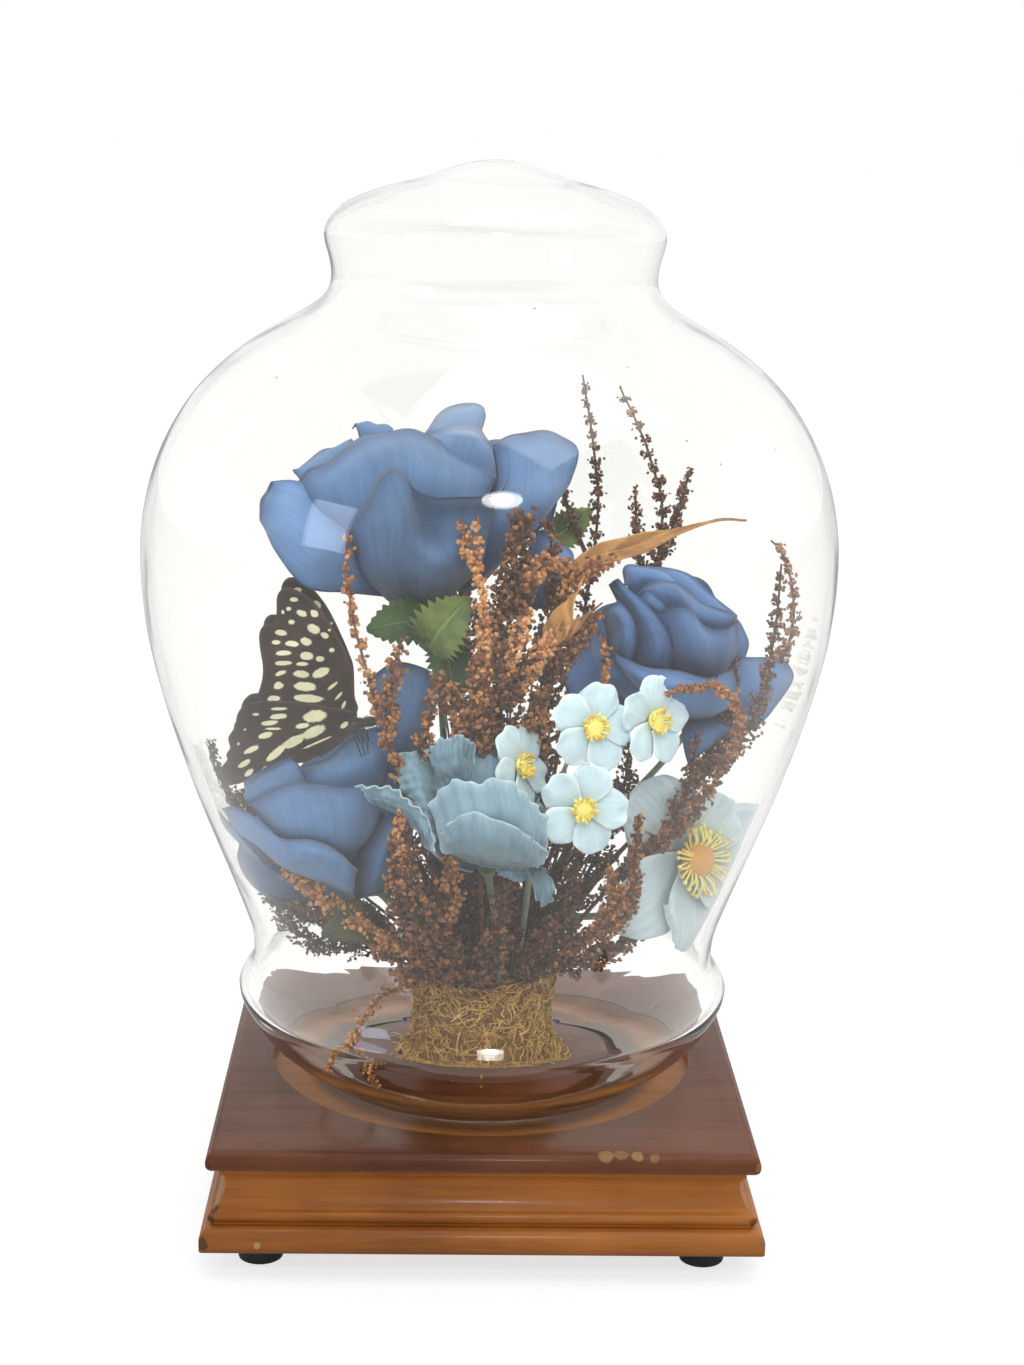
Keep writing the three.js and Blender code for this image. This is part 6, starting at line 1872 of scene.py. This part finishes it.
def make_stage(floor_colour, light):
    world = bpy.data.worlds.new("Studio")
    bpy.context.scene.world = world
    world.use_nodes = True
    sky = world.node_tree
    place = add(sky, "ShaderNodeTexCoord").outputs["Generated"]
    depth = add(sky, "ShaderNodeSeparateXYZ", Vector=place).outputs["Y"]
    shade = add(sky, "ShaderNodeMapRange", {"interpolation_type": "SMOOTHSTEP"}, Value=depth)
    shade.inputs["From Min"].default_value = -0.5
    shade.inputs["From Max"].default_value = 0.3
    shade.inputs["To Min"].default_value = 0.5 * light
    shade.inputs["To Max"].default_value = 1.0 * light
    strength = reckon(sky, "MAXIMUM", shade.outputs["Result"], seen_directly(sky))
    sky.links.new(strength, sky.nodes["Background"].inputs["Strength"])
    sky.nodes["Background"].inputs["Color"].default_value = (1.0, 1.0, 1.0, 1)
    deselect()
    bpy.ops.mesh.primitive_plane_add(size=90, location=(0, 0, 0))
    floor = bpy.context.object
    floor.name = "Floor"
    made, tree, surface = material("Floor paper", Roughness=0.9, Specular_IOR_Level=0.2,
                                   Emission_Strength=FLOOR_GLOW)
    tree.links.new(mix(tree, seen_directly(tree), grey(0.32), grey(1.0)), surface.inputs["Emission Color"])
    grain = noise(tree, object_place(tree), 400.0, 3.0)
    tree.links.new(mix(tree, grain, tuple(c * 0.985 for c in floor_colour), tuple(floor_colour)),
                   surface.inputs["Base Color"])
    floor.data.materials.append(made)
    add_lamp("Front lamp", (0.06, -1.05, 0.95), (0, 0, 0.18), 0.15, 0.085, 1.9 * light, (1.0, 0.98, 0.94),
             "ELLIPSE")
    add_lamp("Front lamp halo", (0.06, -1.04, 0.94), (0, 0, 0.18), 0.26, 0.14, 0.9 * light,
             (1.0, 0.98, 0.94), "ELLIPSE")
    add_lamp("Window", (-1.05, -0.75, 0.62), (0, 0, 0.18), 0.34, 0.4, 1.6 * light, (0.66, 0.78, 1.0))
    add_lamp("Ceiling panel", (0.25, -0.15, 1.6), (0, 0, 0.1), 1.3, 1.3, 8.2 * light, (1.0, 0.985, 0.96))
    view = bpy.context.scene.view_settings
    view.view_transform = "Standard"
    view.look = "None"
    data = bpy.data.cameras.new("Photograph")
    data.sensor_fit = "AUTO"
    data.sensor_width = SENSOR
    data.lens = FOCAL_PIXELS * SENSOR / PHOTO_HEIGHT
    data.clip_start = 0.01
    data.clip_end = 50
    camera = placed("Photograph", data)
    turn = Matrix((RIGHT, UP, -FORWARD)).transposed().to_4x4()
    camera.matrix_world = Matrix.Translation(CAMERA_PLACE * MM) @ turn
    bpy.context.scene.camera = camera


# Settings, operators and panel

class DomeSizes(bpy.types.PropertyGroup):
    """Sizes of the glass and the arrangement."""

    wall: bpy.props.FloatProperty(name="Glass wall", description="Thickness of the blown glass",
                                  default=2.4 * MM, min=0.5 * MM, max=6 * MM, unit="LENGTH", precision=4)
    petal: bpy.props.FloatProperty(name="Petal cloth", description="Thickness of the petal cloth",
                                   default=0.35 * MM, min=0.1 * MM, max=1 * MM, unit="LENGTH", precision=5)
    grain: bpy.props.FloatProperty(name="Husk", description="Radius of a seed husk",
                                   default=1.0 * MM, min=0.4 * MM, max=2 * MM, unit="LENGTH", precision=5)
    fullness: bpy.props.FloatProperty(name="Fullness",
                                      description="Share of the full number of husks on each spray",
                                      default=1.0, min=0.2, max=1.5, subtype="FACTOR")
    bunch: bpy.props.IntProperty(name="Husks in the bunch",
                                 description="Number of seed husks in the packed bunch",
                                 default=15000, min=500, max=20000)
    fibres: bpy.props.IntProperty(name="Moss fibres",
                                  description="Number of fibres laid over the moss column",
                                  default=3400, min=500, max=6000)


class DomeColours(bpy.types.PropertyGroup):
    """Colours of the silk and the floor."""

    rose: bpy.props.FloatVectorProperty(name="Rose silk", description="Body colour of the open rose",
                                        default=(0.104, 0.199, 0.38), subtype="COLOR", min=0, max=1)
    deep: bpy.props.FloatVectorProperty(name="Deep rose silk",
                                        description="Body colour of the rose at the right",
                                        default=(0.066, 0.136, 0.295), subtype="COLOR", min=0, max=1)
    floor: bpy.props.FloatVectorProperty(name="Floor", description="Colour of the floor",
                                         default=(0.36, 0.36, 0.36), subtype="COLOR", min=0, max=1)
    light: bpy.props.FloatProperty(name="Light", description="Strength of all the light",
                                   default=1.0, min=0.1, max=4.0, subtype="FACTOR")


class DOME_OT_stage(bpy.types.Operator):
    """Lay the floor and set the lamps and the camera"""

    bl_idname = "dome.stage"
    bl_label = "Stage"

    def execute(self, context):
        colours = context.scene.dome_colours
        make_stage(colours.floor, colours.light)
        return {"FINISHED"}


class DOME_OT_plinth(bpy.types.Operator):
    """Turn the plinth's three boards and its rubber feet"""

    bl_idname = "dome.plinth"
    bl_label = "Plinth"

    def execute(self, context):
        make_plinth()
        make_feet()
        return {"FINISHED"}


class DOME_OT_glass(bpy.types.Operator):
    """Spin the glass dome from its profile"""

    bl_idname = "dome.glass"
    bl_label = "Glass"

    def execute(self, context):
        make_glass(context.scene.dome_sizes.wall)
        return {"FINISHED"}


class DOME_OT_roses(bpy.types.Operator):
    """Shape the three silk roses, petal by petal"""

    bl_idname = "dome.roses"
    bl_label = "Roses"

    def execute(self, context):
        thickness = context.scene.dome_sizes.petal / MM
        colours = context.scene.dome_colours
        rim = (0.02, 0.045, 0.115)
        # The third colour of each silk is the painted shade at the petal foot.
        light = silk("Rose silk", tuple(colours.rose), rim, (0.01, 0.032, 0.1), 0.04, 0.2)
        deep = silk("Deep rose silk", tuple(colours.deep), (0.01, 0.022, 0.06), (0.014, 0.034, 0.095), 0.04,
                    0.16)
        grey_blue = silk("Shaded rose silk", tuple(colours.rose), rim, (0.022, 0.042, 0.09), 0.04, 0.2)
        make_rose("top", thickness, light, 100)
        make_rose("right", thickness, deep, 160)
        make_rose("left", thickness, grey_blue, 220)
        return {"FINISHED"}


class DOME_OT_small_flowers(bpy.types.Operator):
    """Shape the pale flower, the windflower and the forget-me-nots"""

    bl_idname = "dome.small_flowers"
    bl_label = "Small flowers"

    def execute(self, context):
        thickness = context.scene.dome_sizes.petal / MM
        make_pale_flower(thickness)
        make_windflower(thickness)
        make_forget_me_nots(thickness)
        return {"FINISHED"}


class DOME_OT_greenery(bpy.types.Operator):
    """Add the leaves and the wrapped stems"""

    bl_idname = "dome.greenery"
    bl_label = "Leaves and stems"

    def execute(self, context):
        make_leaves()
        make_stems()
        return {"FINISHED"}


class DOME_OT_dried(bpy.types.Operator):
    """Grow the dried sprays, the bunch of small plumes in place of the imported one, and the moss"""

    bl_idname = "dome.dried"
    bl_label = "Dried sprays and moss"

    def execute(self, context):
        sizes = context.scene.dome_sizes
        make_sprays(sizes.grain / MM, sizes.fullness)
        make_bunch(sizes.grain / MM, sizes.bunch)
        make_moss(sizes.fibres)
        return {"FINISHED"}


class DOME_OT_butterfly(bpy.types.Operator):
    """Set the butterfly with its folded wings"""

    bl_idname = "dome.butterfly"
    bl_label = "Butterfly"

    def execute(self, context):
        make_butterfly()
        return {"FINISHED"}


OPERATORS = (
    DOME_OT_stage, DOME_OT_plinth, DOME_OT_glass, DOME_OT_roses, DOME_OT_small_flowers, DOME_OT_greenery,
    DOME_OT_dried, DOME_OT_butterfly,
)


class DOME_PT_panel(bpy.types.Panel):
    bl_label = "Butterfly Dome"
    bl_idname = "DOME_PT_panel"
    bl_space_type = "VIEW_3D"
    bl_region_type = "UI"
    bl_category = "Butterfly Dome"

    def draw(self, context):
        for group in (context.scene.dome_sizes, context.scene.dome_colours):
            for name in group.bl_rna.properties.keys():
                if name not in ("rna_type", "name"):
                    self.layout.prop(group, name)
        for operator in OPERATORS:
            self.layout.operator(operator.bl_idname)


CLASSES = (DomeSizes, DomeColours, *OPERATORS, DOME_PT_panel)


def register():
    for each in CLASSES:
        bpy.utils.register_class(each)
    bpy.types.Scene.dome_sizes = bpy.props.PointerProperty(type=DomeSizes)
    bpy.types.Scene.dome_colours = bpy.props.PointerProperty(type=DomeColours)


def unregister():
    del bpy.types.Scene.dome_colours
    del bpy.types.Scene.dome_sizes
    for each in reversed(CLASSES):
        bpy.utils.unregister_class(each)


def main():
    register()
    bpy.ops.dome.stage()
    bpy.ops.dome.plinth()
    bpy.ops.dome.glass()
    bpy.ops.dome.roses()
    bpy.ops.dome.small_flowers()
    bpy.ops.dome.greenery()
    bpy.ops.dome.dried()
    bpy.ops.dome.butterfly()


if __name__ == "__main__":
    main()
